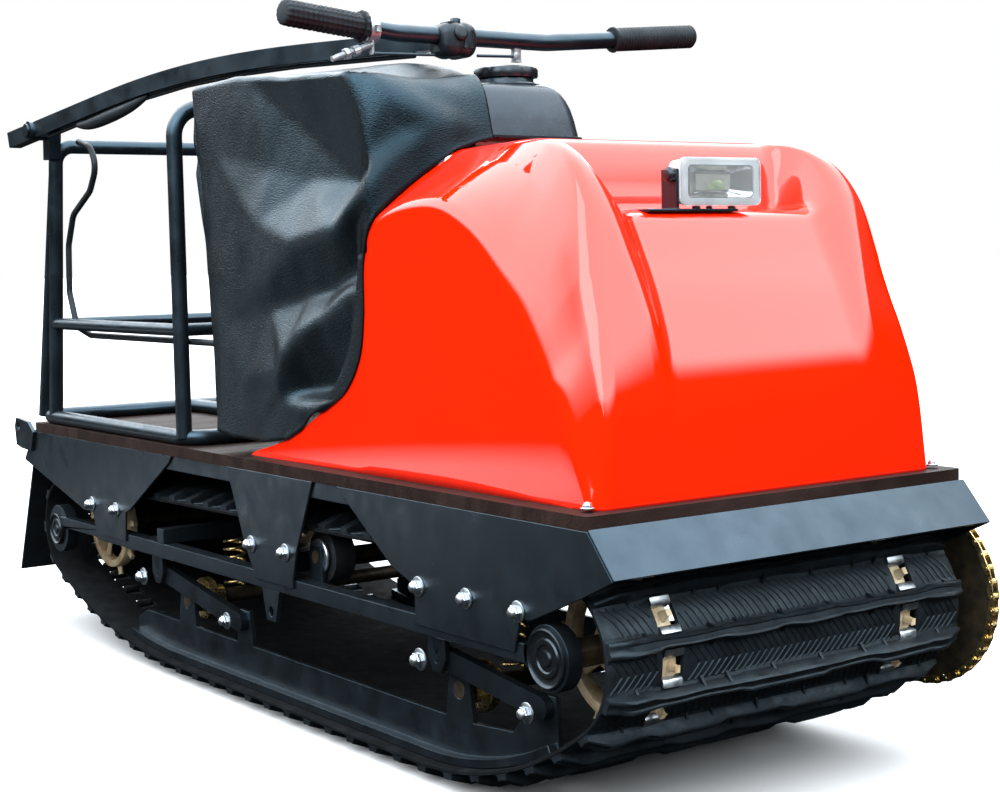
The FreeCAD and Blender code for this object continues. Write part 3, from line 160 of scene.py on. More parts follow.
class Shape:
    """Grids of points, in millimetres, gathered into one mesh.

    paint is the material index that the next faces take.
    """

    def __init__(self):
        self.points = []
        self.faces = []
        self.paints = []
        self.count = 0
        self.paint = 0

    def put(self, points, blocks):
        """Add points with blocks of faces that count from the first of them."""
        points = np.asarray(points, float).reshape(-1, 3)
        for block in blocks:
            self.faces.append(np.asarray(block, int) + self.count)
            self.paints.append(np.full(len(block), self.paint))
        self.points.append(points)
        self.count += len(points)

    def grid(self, points, wrap=(False, False), caps=(False, False), keep=None):
        """Quads between neighbouring points of a grid, rows by columns.

        caps close the first and the last row with a fan to its middle. keep picks quads.
        """
        rows, columns = points.shape[:2]
        row = np.arange(rows if wrap[0] else rows - 1)[:, None]
        column = np.arange(columns if wrap[1] else columns - 1)[None, :]
        below, beside = (row + 1) % rows, (column + 1) % columns
        corners = lattice(row * columns + column, row * columns + beside,
                          below * columns + beside, below * columns + column)
        quads = corners.reshape(-1, 4) if keep is None else corners[keep]
        blocks = [quads]
        flat = points.reshape(-1, 3)
        for edge, wanted in ((0, caps[0]), (rows - 1, caps[1])):
            if wanted:
                ring = edge * columns + np.arange(columns)
                hub = np.full(columns, len(flat))
                flat = np.vstack([flat, points[edge].mean(0)])
                blocks.append(lattice(ring, np.roll(ring, -1), hub))
        self.put(flat, blocks)

    def tube(self, points):
        """A closed solid from rings of points, one per row."""
        self.grid(points, wrap=(False, True), caps=(True, True))

    def turned(self, profile, centre, axis=(1, 0, 0), steps=32, wobble=None):
        """A closed solid of revolution from a profile of (along, radius).

        point = centre + along * axis + radius * (cos(a) * u + sin(a) * v)
        """
        profile = np.asarray(profile, float)
        axis = unit(axis)
        side = unit(np.cross(axis, (0, 0, 1) if abs(axis[2]) < 0.9 else (1, 0, 0)))
        other = np.cross(axis, side)
        angle = np.linspace(0, math.tau, steps, endpoint=False)
        radius = profile[:, 1:2] * (1 if wobble is None else wobble(angle)[None, :])
        self.tube(np.asarray(centre) + profile[:, 0, None, None] * axis
                  + (radius * np.cos(angle))[..., None] * side
                  + (radius * np.sin(angle))[..., None] * other)

    def swept(self, path, radius, steps=20):
        """A round tube along a path, with a radius at each of its points.

        point = path + radius * (cos(a) * side + sin(a) * lift), both square to the path
        """
        ahead = unit(np.gradient(path, axis=0))
        side = unit(np.cross(ahead, np.broadcast_to((0.0, 0.0, 1.0), path.shape)))
        lift = np.cross(side, ahead)
        angle = np.linspace(0, math.tau, steps, endpoint=False)[:, None]
        size = radius[:, None]
        self.tube(path[:, None] + np.cos(angle) * (side * size)[:, None]
                  + np.sin(angle) * (lift * size)[:, None])

    def block(self, low, high, radius, steps=3):
        """A box with round edges: eight corner centres, each plus a part of a sphere."""
        low, high = np.asarray(low, float), np.asarray(high, float)
        middle, half = (low + high) / 2, (high - low) / 2 - radius
        outline = rounded_ring(0, 0, radius, steps) / radius
        corner = np.sign(rounded_ring(2, 2, 1, steps))
        rise = np.linspace(0, math.pi / 2, steps)
        tilt = np.concatenate([rise - math.pi / 2, rise])[:, None]
        lift = np.repeat([-1, 1], steps)[:, None] * half[2] + radius * np.sin(tilt)
        spread = radius * np.cos(tilt)
        self.tube(middle + lattice(corner[:, 0] * half[0] + spread * outline[:, 0],
                                   corner[:, 1] * half[1] + spread * outline[:, 1], lift))

    def stamp(self, other, moves, turns=None):
        """Copies of another shape: point = turn @ point + move, one for each move."""
        points, moves = np.concatenate(other.points), np.asarray(moves, float)
        turned = points[None] if turns is None else np.einsum("nij,pj->npi", turns, points)
        placed = turned + moves[:, None]
        shift = (np.arange(len(moves)) * len(points))[:, None, None]
        for block, paints in zip(other.faces, other.paints):
            faces = (block[None] + shift).reshape(-1, block.shape[1])
            self.faces.append(faces + self.count)
            self.paints.append(np.tile(paints, len(moves)))
        self.points.append(placed.reshape(-1, 3))
        self.count += placed.shape[0] * placed.shape[1]

    def mesh(self, name):
        """All that was gathered, in metres, as one mesh."""
        corners = np.concatenate([block.ravel() for block in self.faces])
        sizes = np.concatenate([np.full(len(block), block.shape[1]) for block in self.faces])
        points = np.concatenate(self.points) * MM
        mesh = bpy.data.meshes.new(name)
        mesh.vertices.add(len(points))
        mesh.vertices.foreach_set("co", points.ravel())
        mesh.loops.add(len(corners))
        mesh.loops.foreach_set("vertex_index", corners)
        mesh.polygons.add(len(sizes))
        mesh.polygons.foreach_set("loop_start", np.cumsum(sizes) - sizes)
        mesh.polygons.foreach_set("material_index", np.concatenate(self.paints))
        mesh.update(calc_edges=True)
        mesh.validate()
        return mesh


def smooth_step(value):
    """From 0 to 1 with level ends."""
    value = np.clip(value, 0, 1)
    return value * value * (3 - 2 * value)


def unit(vector):
    vector = np.asarray(vector, float)
    return vector / np.linalg.norm(vector, axis=-1, keepdims=True)


def lattice(*parts):
    """Arrays that fit together, such as x, y and z, as the last axis of one array."""
    return np.stack(np.broadcast_arrays(*parts), -1)


def on_circle(radius, angle):
    """Two coordinates of points on a circle about zero."""
    return lattice(radius * np.cos(angle), radius * np.sin(angle))


def rounded_ring(half_x, half_y, radius, steps=5):
    """A rectangle with round corners, as (x, y) round its outline."""
    quarter = np.linspace(0, math.pi / 2, steps)
    turn = np.concatenate([index * math.pi / 2 + quarter for index in range(4)])
    sign_x, sign_y = np.repeat([1, -1, -1, 1], steps), np.repeat([1, 1, -1, -1], steps)
    return lattice(sign_x * (half_x - radius) + radius * np.cos(turn),
                   sign_y * (half_y - radius) + radius * np.sin(turn))


def curve(points, steps):
    """A smooth line through points: each span is a cubic set by its four neighbours."""
    points = np.asarray(points, float)
    ends = np.vstack([2 * points[0] - points[1], points, 2 * points[-1] - points[-2]])
    share = np.linspace(0, 1, steps, endpoint=False)[:, None]
    before, first, second, after = (ends[i:len(ends) - 3 + i, None] for i in range(4))
    line = (2 * first + (second - before) * share
            + (2 * before - 5 * first + 4 * second - after) * share ** 2
            + (3 * first - before - 3 * second + after) * share ** 3) / 2
    return np.vstack([line.reshape(-1, points.shape[1]), points[-1:]])


def even(line, count):
    """The same line with its points evenly spaced."""
    length = np.concatenate([[0], np.cumsum(np.linalg.norm(np.diff(line, axis=0), axis=1))])
    wanted = np.linspace(0, length[-1], count)
    return lattice(*(np.interp(wanted, length, column) for column in line.T))


def spin(angle):
    """Turning matrices about the X axis, one for each angle."""
    cos, sin, zero = np.cos(angle), np.sin(angle), 0 * angle
    return lattice(zero + 1, zero, zero, zero, cos, -sin, zero, sin, cos).reshape(-1, 3, 3)


def aim(axis):
    """A matrix that turns +Z to point along an axis."""
    axis = unit(axis)
    side = unit(np.cross((0, 1, 0) if abs(axis[1]) < 0.9 else (1, 0, 0), axis))
    return lattice(side, np.cross(axis, side), axis)


def grain(points, scale, seed):
    """Smooth noise from -1 to 1: a sum of sines along seeded directions."""
    random = np.random.default_rng(seed)
    total = np.zeros(points.shape[:-1])
    for _ in range(9):
        wave = unit(random.normal(size=3)) * random.uniform(0.6, 1.7) / scale
        total += np.sin(points @ wave * math.tau + random.uniform(0, math.tau))
    return total / 4.5


def as_piece(name, shape, finishes, body=CHASSIS, stands_for=(), smooth=35,
             closed=True):
    """Make the object, point a closed one's faces outwards, give it its finishes and body, and
    hide what it stands for.
    """
    mesh = shape.mesh(name)
    if closed:
        work = bmesh.new()
        work.from_mesh(mesh)
        bmesh.ops.recalc_face_normals(work, faces=work.faces)
        work.to_mesh(mesh)
        work.free()
    mesh.shade_smooth()
    mesh.set_sharp_from_angle(angle=math.radians(smooth))
    item = bpy.data.objects.new(name, mesh)
    bpy.context.scene.collection.objects.link(item)
    for finish in finishes if isinstance(finishes, (list, tuple)) else [finishes]:
        mesh.materials.append(finish)
    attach(item, body)
    if stands_for:
        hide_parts(*stands_for)
    return item


def dress(names, finish, bevel=None):
    """Give CAD nodes a finish, welded smooth, with small bevels on their sharp edges."""
    for name in names:
        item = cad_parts[name]
        item.data.materials.clear()
        item.data.materials.append(finish)
        weld = item.modifiers.new("Weld", "WELD")
        weld.merge_threshold = 0.00002
        if bevel:
            edge = item.modifiers.new("Bevel", "BEVEL")
            edge.width = bevel
            edge.segments = 2
            edge.limit_method = "ANGLE"
            edge.angle_limit = math.radians(40)
            edge.use_clamp_overlap = True
        even_light = item.modifiers.new("Even light", "WEIGHTED_NORMAL")
        even_light.keep_sharp = True


# ---------------------------------------------------------------- finishes

class Nodes:
    """Short calls that add linked nodes to one tree."""

    def __init__(self, tree):
        self.tree = tree

    def add(self, kind, inputs=(), **settings):
        node = self.tree.nodes.new(kind)
        for key, value in settings.items():
            setattr(node, key, value)
        for key, value in dict(inputs).items():
            self.set(node, key, value)
        return node

    def set(self, node, key, value):
        """Link a socket, or give it a number or a colour."""
        socket = node.inputs[key]
        if isinstance(value, bpy.types.NodeSocket):
            self.tree.links.new(value, socket)
        elif socket.type == "RGBA" and len(value) == 3:
            socket.default_value = (*value, 1)
        else:
            socket.default_value = value

    def mixed(self, factor, first, second):
        return self.add("ShaderNodeMix", {0: factor, 6: first, 7: second},
                        data_type="RGBA").outputs[2]


class Finish(Nodes):
    """A procedural material: noises on object coordinates feed one shader."""

    def __init__(self, name, colour, roughness, **sockets):
        self.material = bpy.data.materials.new(name)
        self.material.use_nodes = True
        super().__init__(self.material.node_tree)
        self.shader = next(node for node in self.tree.nodes if node.type == "BSDF_PRINCIPLED")
        self.place = self.add("ShaderNodeTexCoord").outputs["Object"]
        self.set(self.shader, "Base Color", colour)
        self.set(self.shader, "Roughness", roughness)
        for key, value in sockets.items():
            self.set(self.shader, key.replace("_", " "), value)

    def stretched(self, scale):
        """Object coordinates, stretched along each axis if a scale is given."""
        if scale is None:
            return self.place
        return self.add("ShaderNodeMapping", {"Vector": self.place, "Scale": scale}).outputs[0]

    def noise(self, scale, detail=3, stretch=None, roughness=0.5):
        return self.add("ShaderNodeTexNoise", {
            "Vector": self.stretched(stretch), "Scale": scale, "Detail": detail,
            "Roughness": roughness}).outputs[0]

    def cells(self, scale, stretch=None):
        return self.add("ShaderNodeTexVoronoi", {
            "Vector": self.stretched(stretch), "Scale": scale}).outputs["Distance"]

    def attribute(self, name):
        return self.add("ShaderNodeAttribute", attribute_name=name).outputs["Fac"]

    def ranged(self, source, low, high, start=0.0, end=1.0):
        """Carry the values between low and high over to start and end."""
        return self.add("ShaderNodeMapRange", {
            "Value": source, "From Min": low, "From Max": high,
            "To Min": start, "To Max": end}).outputs[0]

    def sum(self, first, second, share=1.0):
        """first + second * share."""
        return self.add("ShaderNodeMath", {0: second, 1: share, 2: first},
                        operation="MULTIPLY_ADD").outputs[0]

    def tint(self, factor, first, second):
        self.set(self.shader, "Base Color", self.mixed(factor, first, second))

    def polish(self, factor, low, high, start, end):
        self.set(self.shader, "Roughness", self.ranged(factor, low, high, start, end))

    def bump(self, *layers):
        """Stack bumps, each a (height, distance in metres) pair, and give the material."""
        under = None
        for height, distance in layers:
            inputs = {"Height": height, "Distance": distance, "Strength": 1.0}
            if under:
                inputs["Normal"] = under
            under = self.add("ShaderNodeBump", inputs).outputs[0]
        self.set(self.shader, "Normal", under)
        return self.material


def shade(colour, factor):
    return tuple(channel * factor for channel in colour[:3])


@cache
def gel_coat():
    """Glossy moulded resin with a faint mould ripple under a clear coat."""
    colour = body_settings().hood_colour
    look = Finish("hood gel coat", colour, 0.16, Coat_Weight=1.0, Coat_Roughness=0.03,
                  Coat_IOR=1.6, Specular_IOR_Level=0.0)
    look.tint(look.ranged(look.noise(2.2, 3), 0.35, 0.7), shade(colour, 1.06),
              shade(colour, 0.90))
    look.polish(look.noise(38, 5), 0.35, 0.75, 0.12, 0.24)
    return look.bump((look.noise(7, 2), 0.0012), (look.noise(160, 2), 0.00003))


@cache
def powder_coat():
    """Semi-gloss black powder coat: fine orange peel, dust in the rough patches."""
    colour = frame_settings().paint_colour
    # Specular Tint colours every reflection blue: a painted blue sky in the reflections.
    look = Finish("frame powder coat", colour, 0.34, Specular_IOR_Level=0.75,
                  Specular_Tint=(0.44, 0.74, 1.0))
    dust = look.ranged(look.noise(9, 6, roughness=0.62), 0.45, 0.78)
    look.tint(dust, colour, shade(colour, 2.3))
    look.polish(look.noise(30, 5), 0.3, 0.75, 0.26, 0.46)
    return look.bump((look.noise(520, 2), 0.00006), (look.noise(60, 3), 0.00010))


@cache
def film_ply():
    """Plywood with a dark resin film: fine mesh press marks and dull scuffs."""
    colour = frame_settings().deck_colour
    look = Finish("deck film", colour, 0.6, Specular_IOR_Level=0.1)
    scuff = look.ranged(look.noise(14, 6, (0.4, 2.2, 1), 0.65), 0.42, 0.72)
    look.tint(scuff, shade(colour, 0.72), shade(colour, 1.7))
    look.polish(scuff, 0, 1, 0.5, 0.7)
    return look.bump((look.cells(430, (1, 0.72, 1)), 0.00022), (look.noise(55, 4), 0.00025))


def rubber(name, colour, scale=240, gloss=(0.42, 0.62)):
    """Black rubber with dust in patches, a fine grain and a soft unevenness."""
    # Specular Tint colours every reflection blue: a painted blue sky in the reflections.
    look = Finish(name, colour, 0.5, Specular_IOR_Level=0.3, Specular_Tint=(0.62, 0.82, 1.0))
    dust = look.ranged(look.noise(24, 6, roughness=0.6), 0.42, 0.75)
    look.tint(dust, colour, shade(colour, 1.9))
    look.polish(look.noise(40, 4), 0.3, 0.7, *gloss)
    return look.bump((look.noise(scale, 4), 0.00025), (look.noise(45, 3), 0.0004))


def plastic(name, colour, gloss=(0.3, 0.42), scale=900):
    """Moulded plastic with a fine eroded texture."""
    # Specular Tint colours every reflection blue: a painted blue sky in the reflections.
    look = Finish(name, colour, 0.36, Specular_Tint=(0.62, 0.82, 1.0))
    look.tint(look.ranged(look.noise(18, 4), 0.4, 0.7), colour, shade(colour, 1.35))
    look.polish(look.noise(50, 3), 0.3, 0.7, *gloss)
    return look.bump((look.cells(scale), 0.00006), (look.noise(30, 2), 0.0003))


@cache
def cast_urethane():
    """Amber cast wheels: waxy, a little darker and greasy in patches."""
    colour = running_settings().tooth_colour
    look = Finish("cast urethane", colour, 0.4, Subsurface_Weight=0.15,
                  Subsurface_Scale=0.004)
    grime = look.ranged(look.noise(55, 5, roughness=0.65), 0.40, 0.72)
    look.tint(grime, colour, (colour[0] * 0.55, colour[1] * 0.42, colour[2] * 0.28))
    look.polish(grime, 0, 1, 0.32, 0.6)
    return look.bump((look.noise(180, 3), 0.0003))


def metal(name, base, roughness, tints, mottle, gloss, scratch, metallic=1.0, start=0.35):
    """A metal mottled in two tints, with uneven gloss and fine scratches.

    mottle, gloss and scratch begin with their noise's scale and detail. gloss ends with
    the two roughnesses and scratch with its depth in metres.
    """
    look = Finish(name, base, roughness, Metallic=metallic)
    look.tint(look.ranged(look.noise(*mottle), start, 0.7), *tints)
    look.polish(look.noise(*gloss[:2]), 0.3, 0.7, *gloss[2:])
    return look.bump((look.noise(*scratch[:2]), scratch[2]))


@cache
def bright_zinc():
    """Clear zinc plate on pressed steel."""
    return metal("bright zinc", (0.48, 0.53, 0.57), 0.34,
                 ((0.52, 0.57, 0.61), (0.36, 0.40, 0.44)),
                 (150, 4), (220, 4, 0.28, 0.46), (500, 3, 0.00004))


@cache
def raw_aluminium():
    """Cast light alloy."""
    return metal("light alloy", (0.62, 0.64, 0.66), 0.36,
                 ((0.66, 0.68, 0.70), (0.46, 0.48, 0.50)),
                 (120, 4), (240, 3, 0.28, 0.5), (500, 3, 0.0001))


@cache
def dull_alloy():
    """Die-cast light alloy gone matt and grey."""
    return metal("dull alloy", (0.30, 0.33, 0.36), 0.42,
                 ((0.34, 0.37, 0.40), (0.20, 0.22, 0.24)),
                 (140, 4), (220, 3, 0.34, 0.55), (480, 3, 0.00012), 0.6)


@cache
def oiled_steel():
    """Dark steel under a film of oil and dust."""
    return metal("oiled steel", (0.045, 0.038, 0.028), 0.42,
                 ((0.030, 0.026, 0.020), (0.085, 0.066, 0.040)),
                 (46, 5, None, 0.6), (90, 4, 0.3, 0.6), (300, 3, 0.00015), 0.7, 0.38)


@cache
def yellow_zinc():
    """Yellow-passivated zinc with green and rose tinges."""
    look = Finish("yellow zinc", (0.70, 0.50, 0.20), 0.3, Metallic=1.0)
    tinge = look.mixed(look.ranged(look.noise(70, 4), 0.35, 0.68), (0.66, 0.47, 0.17),
                       (0.80, 0.66, 0.34))
    look.tint(look.ranged(look.noise(130, 3), 0.55, 0.75), tinge, (0.50, 0.36, 0.22))
    look.polish(look.noise(260, 4), 0.3, 0.7, 0.2, 0.45)
    return look.bump((look.noise(600, 3), 0.00008))


# ---------------------------------------------------------------- stage

CAMERA_PLACE = (-1.2932, -1.9667, 0.5746)
CAMERA_HEADING, CAMERA_DIP, CAMERA_ROLL = -0.623411, 0.079482, -0.020440
FLOOR_LEVEL, FLOOR_REACH = -0.4, 60000
# Middle of a painted bright patch of floor that only reflections see.
FLOOR_PATCH = (-1.6, 1.8, 0)
LAMP_PLACE, LAMP_TARGET = np.array((-3.4, -1.6, 3.0)), np.array((0, -0.2, 0.4))


class Surround(Nodes):
    """A world whose brightness differs by direction and by kind of ray."""

    def __init__(self, world):
        super().__init__(world.node_tree)
        place = self.add("ShaderNodeTexCoord").outputs["Generated"]
        self.parts = self.add("ShaderNodeSeparateXYZ", {0: place}).outputs
        self.ray = self.add("ShaderNodeLightPath").outputs

    def gradient(self, low, high, start, end, axis="Z"):
        """A smooth step from start to end as one part of the direction goes low to high."""
        return self.add("ShaderNodeMapRange", {
            "Value": self.parts[axis], "From Min": low, "From Max": high,
            "To Min": start, "To Max": end}, interpolation_type="SMOOTHSTEP").outputs[0]

    def pick(self, kind, others, chosen):
        """A number for one kind of ray and another for all others."""
        return self.add("ShaderNodeMix", {0: self.ray[kind], 2: others, 3: chosen}).outputs[0]


class TOW_OT_stage(Operator):
    """Pale floor, soft light and the viewpoint.

    To the eye the surround is even, and matt faces are lit softly from above. Glossy faces
    mirror a surround that is dark near the horizon and towards +X, and a patch of floor.
    """

    bl_idname = "tow.stage"
    bl_label = "Stage"

    def execute(self, context):
        settings = context.scene.tow_stage
        self.lay_floor(context, settings.floor_colour)
        self.light(context, settings)

        lens = bpy.data.cameras.new("viewpoint")
        lens.lens = settings.lens
        lens.sensor_width = 36
        view = bpy.data.objects.new("viewpoint", lens)
        view.matrix_world = (Matrix.Translation(CAMERA_PLACE)
                             @ Matrix.Rotation(CAMERA_HEADING, 4, "Z")
                             @ Matrix.Rotation(math.pi / 2 - CAMERA_DIP, 4, "X")
                             @ Matrix.Rotation(CAMERA_ROLL, 4, "Z"))
        context.scene.collection.objects.link(view)
        context.scene.camera = view
        context.scene.view_settings.view_transform = "Standard"
        return {"FINISHED"}

    def lay_floor(self, context, colour):
        floor = Shape()
        line = np.array([-FLOOR_REACH, FLOOR_REACH])
        floor.grid(lattice(line[:, None], line[None, :], FLOOR_LEVEL))
        ground = bpy.data.objects.new("floor", floor.mesh("floor"))
        context.scene.collection.objects.link(ground)
        look = Finish("floor", colour, 0.9, Specular_IOR_Level=0.0)
        # To reflections the floor is painted dark, save for a painted bright patch that gives the
        # side plates their sheen; to bounced light it is a third as bright; to the eye it is
        # brighter, so that it reads white.
        ray = look.add("ShaderNodeLightPath").outputs
        away = look.add("ShaderNodeVectorMath", {0: look.place, 1: FLOOR_PATCH},
                        operation="DISTANCE").outputs["Value"]
        mirrored = look.mixed(look.ranged(away, 0.4, 1.0), shade(colour, 1.2),
                              shade(colour, 0.02))
        bounced = look.mixed(ray["Is Glossy Ray"], shade(colour, 0.35), mirrored)
        look.tint(ray["Is Camera Ray"], bounced, shade(colour, 1.7))
        ground.data.materials.append(look.material)

    def light(self, context, settings):
        world = bpy.data.worlds.new("soft surround")
        context.scene.world = world
        world.use_nodes = True
        sky = Surround(world)
        mirrored = sky.add("ShaderNodeMath", {
            0: sky.gradient(0.20, 0.38, 0.03, settings.ambient),
            1: sky.gradient(0.76, 0.84, 1.0, 0.04, "X")}, operation="MULTIPLY").outputs[0]
        wide = sky.gradient(0.10, 0.70, 0.35, settings.ambient * 1.25)
        strength = sky.pick("Is Diffuse Ray", mirrored, wide)
        output = next(node for node in sky.tree.nodes if node.type == "BACKGROUND")
        sky.set(output, "Strength", sky.pick("Is Camera Ray", strength, 1.0))
        sky.set(output, "Color",
                sky.mixed(sky.ray["Is Camera Ray"], (0.93, 0.97, 1.0), (1, 1, 1)))

        light = bpy.data.lights.new("soft box", "AREA")
        light.size = 3.4
        light.energy = settings.soft_box
        lamp = bpy.data.objects.new("soft box", light)
        lamp.matrix_world = (Matrix.Translation(LAMP_PLACE)
                             @ Matrix(aim(LAMP_PLACE - LAMP_TARGET)).to_4x4())
        context.scene.collection.objects.link(lamp)


# ---------------------------------------------------------------- hood

# The hood is read as a fan of rays, in the plane across the machine's side, from a
# point inside it: angle 0 points to the front and 90 degrees points up.
FAN_Y, FAN_Z = -330.0, 120.0


def polar(points):
    """(y, z) to (ray angle in degrees, distance)."""
    points = np.asarray(points, float)
    ahead, rise = FAN_Y - points[:, 0], points[:, 1] - FAN_Z
    return np.degrees(np.arctan2(rise, ahead)), np.hypot(ahead, rise)


def on_ray(angle, distance):
    """(ray angle in radians, distance) back to (y, z)."""
    return FAN_Y - distance * np.cos(angle), FAN_Z + distance * np.sin(angle)


def profile(points, soften):
    """A function of ray angle in radians from (y, z) points, eased over some degrees."""
    angle, distance = polar(curve(points, 6))
    fine = np.linspace(30, 155, 1001)
    order = np.argsort(angle)
    values = np.interp(fine, angle[order], distance[order])
    width = int(soften / 0.125)
    kernel = np.hanning(2 * width + 1)
    padded = np.pad(values, width, "edge")
    values = np.convolve(padded, kernel / kernel.sum(), "valid")
    return lambda radians: np.interp(np.degrees(radians), fine, values)


SHOULDER = profile([(-645, 318), (-638, 345), (-601, 432), (-581, 454), (-560, 489),
                    (-534, 528), (-501, 561), (-473, 589), (-443, 610), (-401, 628),
                    (-357, 632), (-303, 626), (-262, 612), (-232, 590)], 1.5)
CREST = profile([(-656, 318), (-655, 345), (-652, 410), (-647, 455), (-638, 500),
                 (-626, 540), (-613, 578), (-600, 612), (-585, 638), (-567, 659),
                 (-542, 678), (-512, 689), (-480, 693), (-423, 696), (-330, 697),
                 (-230, 697)], 0.8)
RIDGE = profile([(-656, 318), (-655, 345), (-652, 400), (-646, 440), (-632, 490),
                 (-619, 530), (-606, 576), (-593, 618), (-577, 648), (-553, 671),
                 (-512, 687), (-480, 691), (-423, 694), (-330, 693), (-230, 690)], 1.2)
FLOOR = profile([(-656, 318), (-655, 350), (-651, 410), (-644, 455), (-632, 492),
                 (-617, 532), (-598, 568), (-584, 597), (-576, 610), (-560, 616)], 0.5)
SHELF = polar([(-560, 616), (-515, 614), (-503, 618), (-497, 640), (-490, 676),
               (-482, 690), (-465, 694), (-420, 697), (-330, 697), (-230, 697)])


def floor_radius(angle):
    """The sunk panel up to the shelf's edge, then the shelf and the wall behind it."""
    degrees = np.degrees(angle)
    return np.where(degrees < SHELF[0][0], FLOOR(angle),
                    np.interp(degrees, SHELF[0], SHELF[1]))


def ridge_half(angle):
    """How far from the middle the fender's outer ridge runs, at a ray angle."""
    return np.interp(np.degrees(angle), [32, 45, 52, 58, 63, 68, 74, 82, 92, 100],
                     [224, 219, 213, 206, 198, 186, 170, 153, 142, 140])


def rim_half(angle):
    """Half the width between the fenders' inner rims, at a ray angle."""
    return np.interp(np.degrees(angle), [32, 44, 52, 58, 63, 70, 76, 84, 100],
                     [152, 150, 151, 158, 163, 166, 158, 125, 100])


def floor_half(angle):
    """Half the width of the sunk panel, at a ray angle."""
    return np.interp(np.degrees(angle), [32, 50, 63, 68, 73, 77, 84, 100],
                     [138, 132, 135, 142, 149, 148, 115, 90])


def rounded_line(corners, radii, count):
    """Polylines with rounded corners, one per row: (rows, corners, 2) to (rows, n, 2).

    Each corner is a quadratic arc whose ends lie a radius before and after it.
    """
    pieces = [corners[:, 0][:, None]]
    share = np.linspace(0, 1, count)[None, :, None]
    for index in range(1, corners.shape[1] - 1):
        here = corners[:, index]
        back, ahead = corners[:, index - 1] - here, corners[:, index + 1] - here
        long_back = np.linalg.norm(back, axis=1)
        long_ahead = np.linalg.norm(ahead, axis=1)
        reach = np.minimum(radii[index - 1], 0.45 * np.minimum(long_back, long_ahead))
        start = here + back * (reach / np.maximum(long_back, 1e-6))[:, None]
        end = here + ahead * (reach / np.maximum(long_ahead, 1e-6))[:, None]
        pieces.append(start[:, None] * (1 - share) ** 2
                      + 2 * here[:, None] * share * (1 - share) + end[:, None] * share ** 2)
    pieces.append(corners[:, -1][:, None])
    return np.concatenate(pieces, axis=1)


def hood_corners(angle):
    """Corners (x, distance) of half cross-sections at many ray angles, wall first."""
    shoulder, ridge, crest = SHOULDER(angle), RIDGE(angle), CREST(angle)
    floor = np.minimum(floor_radius(angle), crest)
    outer, rim = ridge_half(angle), rim_half(angle)
    middle = (HOOD[1][0] + outer) / 2
    hollow = 7 * np.exp(-((np.degrees(angle) - 64) / 12) ** 2)
    wall = np.full_like(angle, HOOD[1][0])
    across = (wall, wall, middle, outer, rim, floor_half(angle), 0 * angle)
    along = (shoulder - 24, shoulder, (shoulder + ridge) / 2 - hollow, ridge, crest, floor,
             floor)
    return lattice(lattice(*across), lattice(*along))


def hood_section(angle):
    """The same cross-sections with their corners rounded, as (rows, points, 2)."""
    return rounded_line(hood_corners(angle), [18, 60, 46, 26, 14], 11)


def clear_of_hood(points, gap):
    """Move points that are inside the hood's outer skin out of it by a gap.

    On each ray from the fan's centre the skin is the polyline of the hood's corners. A
    point inside goes straight out through the side wall or along its ray, whichever is less.
    """
    x, y, z = points.reshape(-1, 3).T
    angle = np.arctan2(z - FAN_Z, FAN_Y - y)
    distance = np.hypot(z - FAN_Z, FAN_Y - y)
    corners = hood_corners(angle)
    width, skin = np.abs(x), corners[:, -1, 1].copy()
    for (high_x, high), (low_x, low) in zip(np.moveaxis(corners[:, 1:-1], 0, -1),
                                            np.moveaxis(corners[:, 2:], 0, -1)):
        share = (width - low_x) / np.maximum(high_x - low_x, 1e-6)
        skin = np.where((share >= 0) & (share <= 1), low + (high - low) * share, skin)
    side = hood_edge()
    ends = np.interp(z, side[1:, 1], side[1:, 0]) + 8
    over = np.where(z < side[-1, 1], y < ends + 60, angle < math.radians(99.5))
    to_skin = skin + gap - distance
    clear = HOOD[1][0] + gap - np.where(z < side[-1, 1], np.maximum(y - ends, 0) * 0.8, 0)
    to_wall = clear - width
    inside = over & (to_wall > 0) & (to_skin > 0)
    by_wall = inside & ((to_wall < to_skin) | (z < side[-1, 1]))
    by_skin = inside & ~by_wall
    x = np.where(by_wall, np.sign(x) * clear, x)
    reach = np.where(by_skin, skin + gap, distance)
    y, z = on_ray(angle, reach)
    return lattice(x, y, z).reshape(points.shape)


def hood_grid(rows=150):
    """The front, top and sunk part: section point j runs over rays from the deck's ray.

    The lowest ray of each column is where the column meets the deck, found by halving.
    """
    base = HOOD[0][2]
    low = np.full(hood_section(np.array([1.0])).shape[1], math.radians(31.0))
    high = np.full(len(low), math.radians(50.0))
    column = np.arange(len(low))
    for _ in range(40):
        middle = (low + high) / 2
        distance = hood_section(middle)[column, column, 1]
        over = FAN_Z + distance * np.sin(middle) > base
        high, low = np.where(over, middle, high), np.where(over, low, middle)
    end_wall, end_middle = math.radians(99.4), math.radians(98.2)
    spread = np.linspace(0, 1, len(low)) ** 0.8
    last = end_wall + (end_middle - end_wall) * smooth_step(spread / 0.55)
    share = np.linspace(0, 1, rows)[:, None]
    angle = high + (last - high) * share
    sections = hood_section(angle.ravel()).reshape(rows, len(low), len(low), 2)
    x, distance = sections[:, column, column, 0], sections[:, column, column, 1]
    y, z = on_ray(angle, distance)
    z[0] = base
    return lattice(x, y, z)


def hood_edge():
    """(y, z) of the side wall's rear edge, from the deck's tail up to the shoulder."""
    return curve([(37, 328), (24, 334), (-60, 356), (-160, 404), (-218, 466), (-238, 530),
                  (-246, 575)], 8)


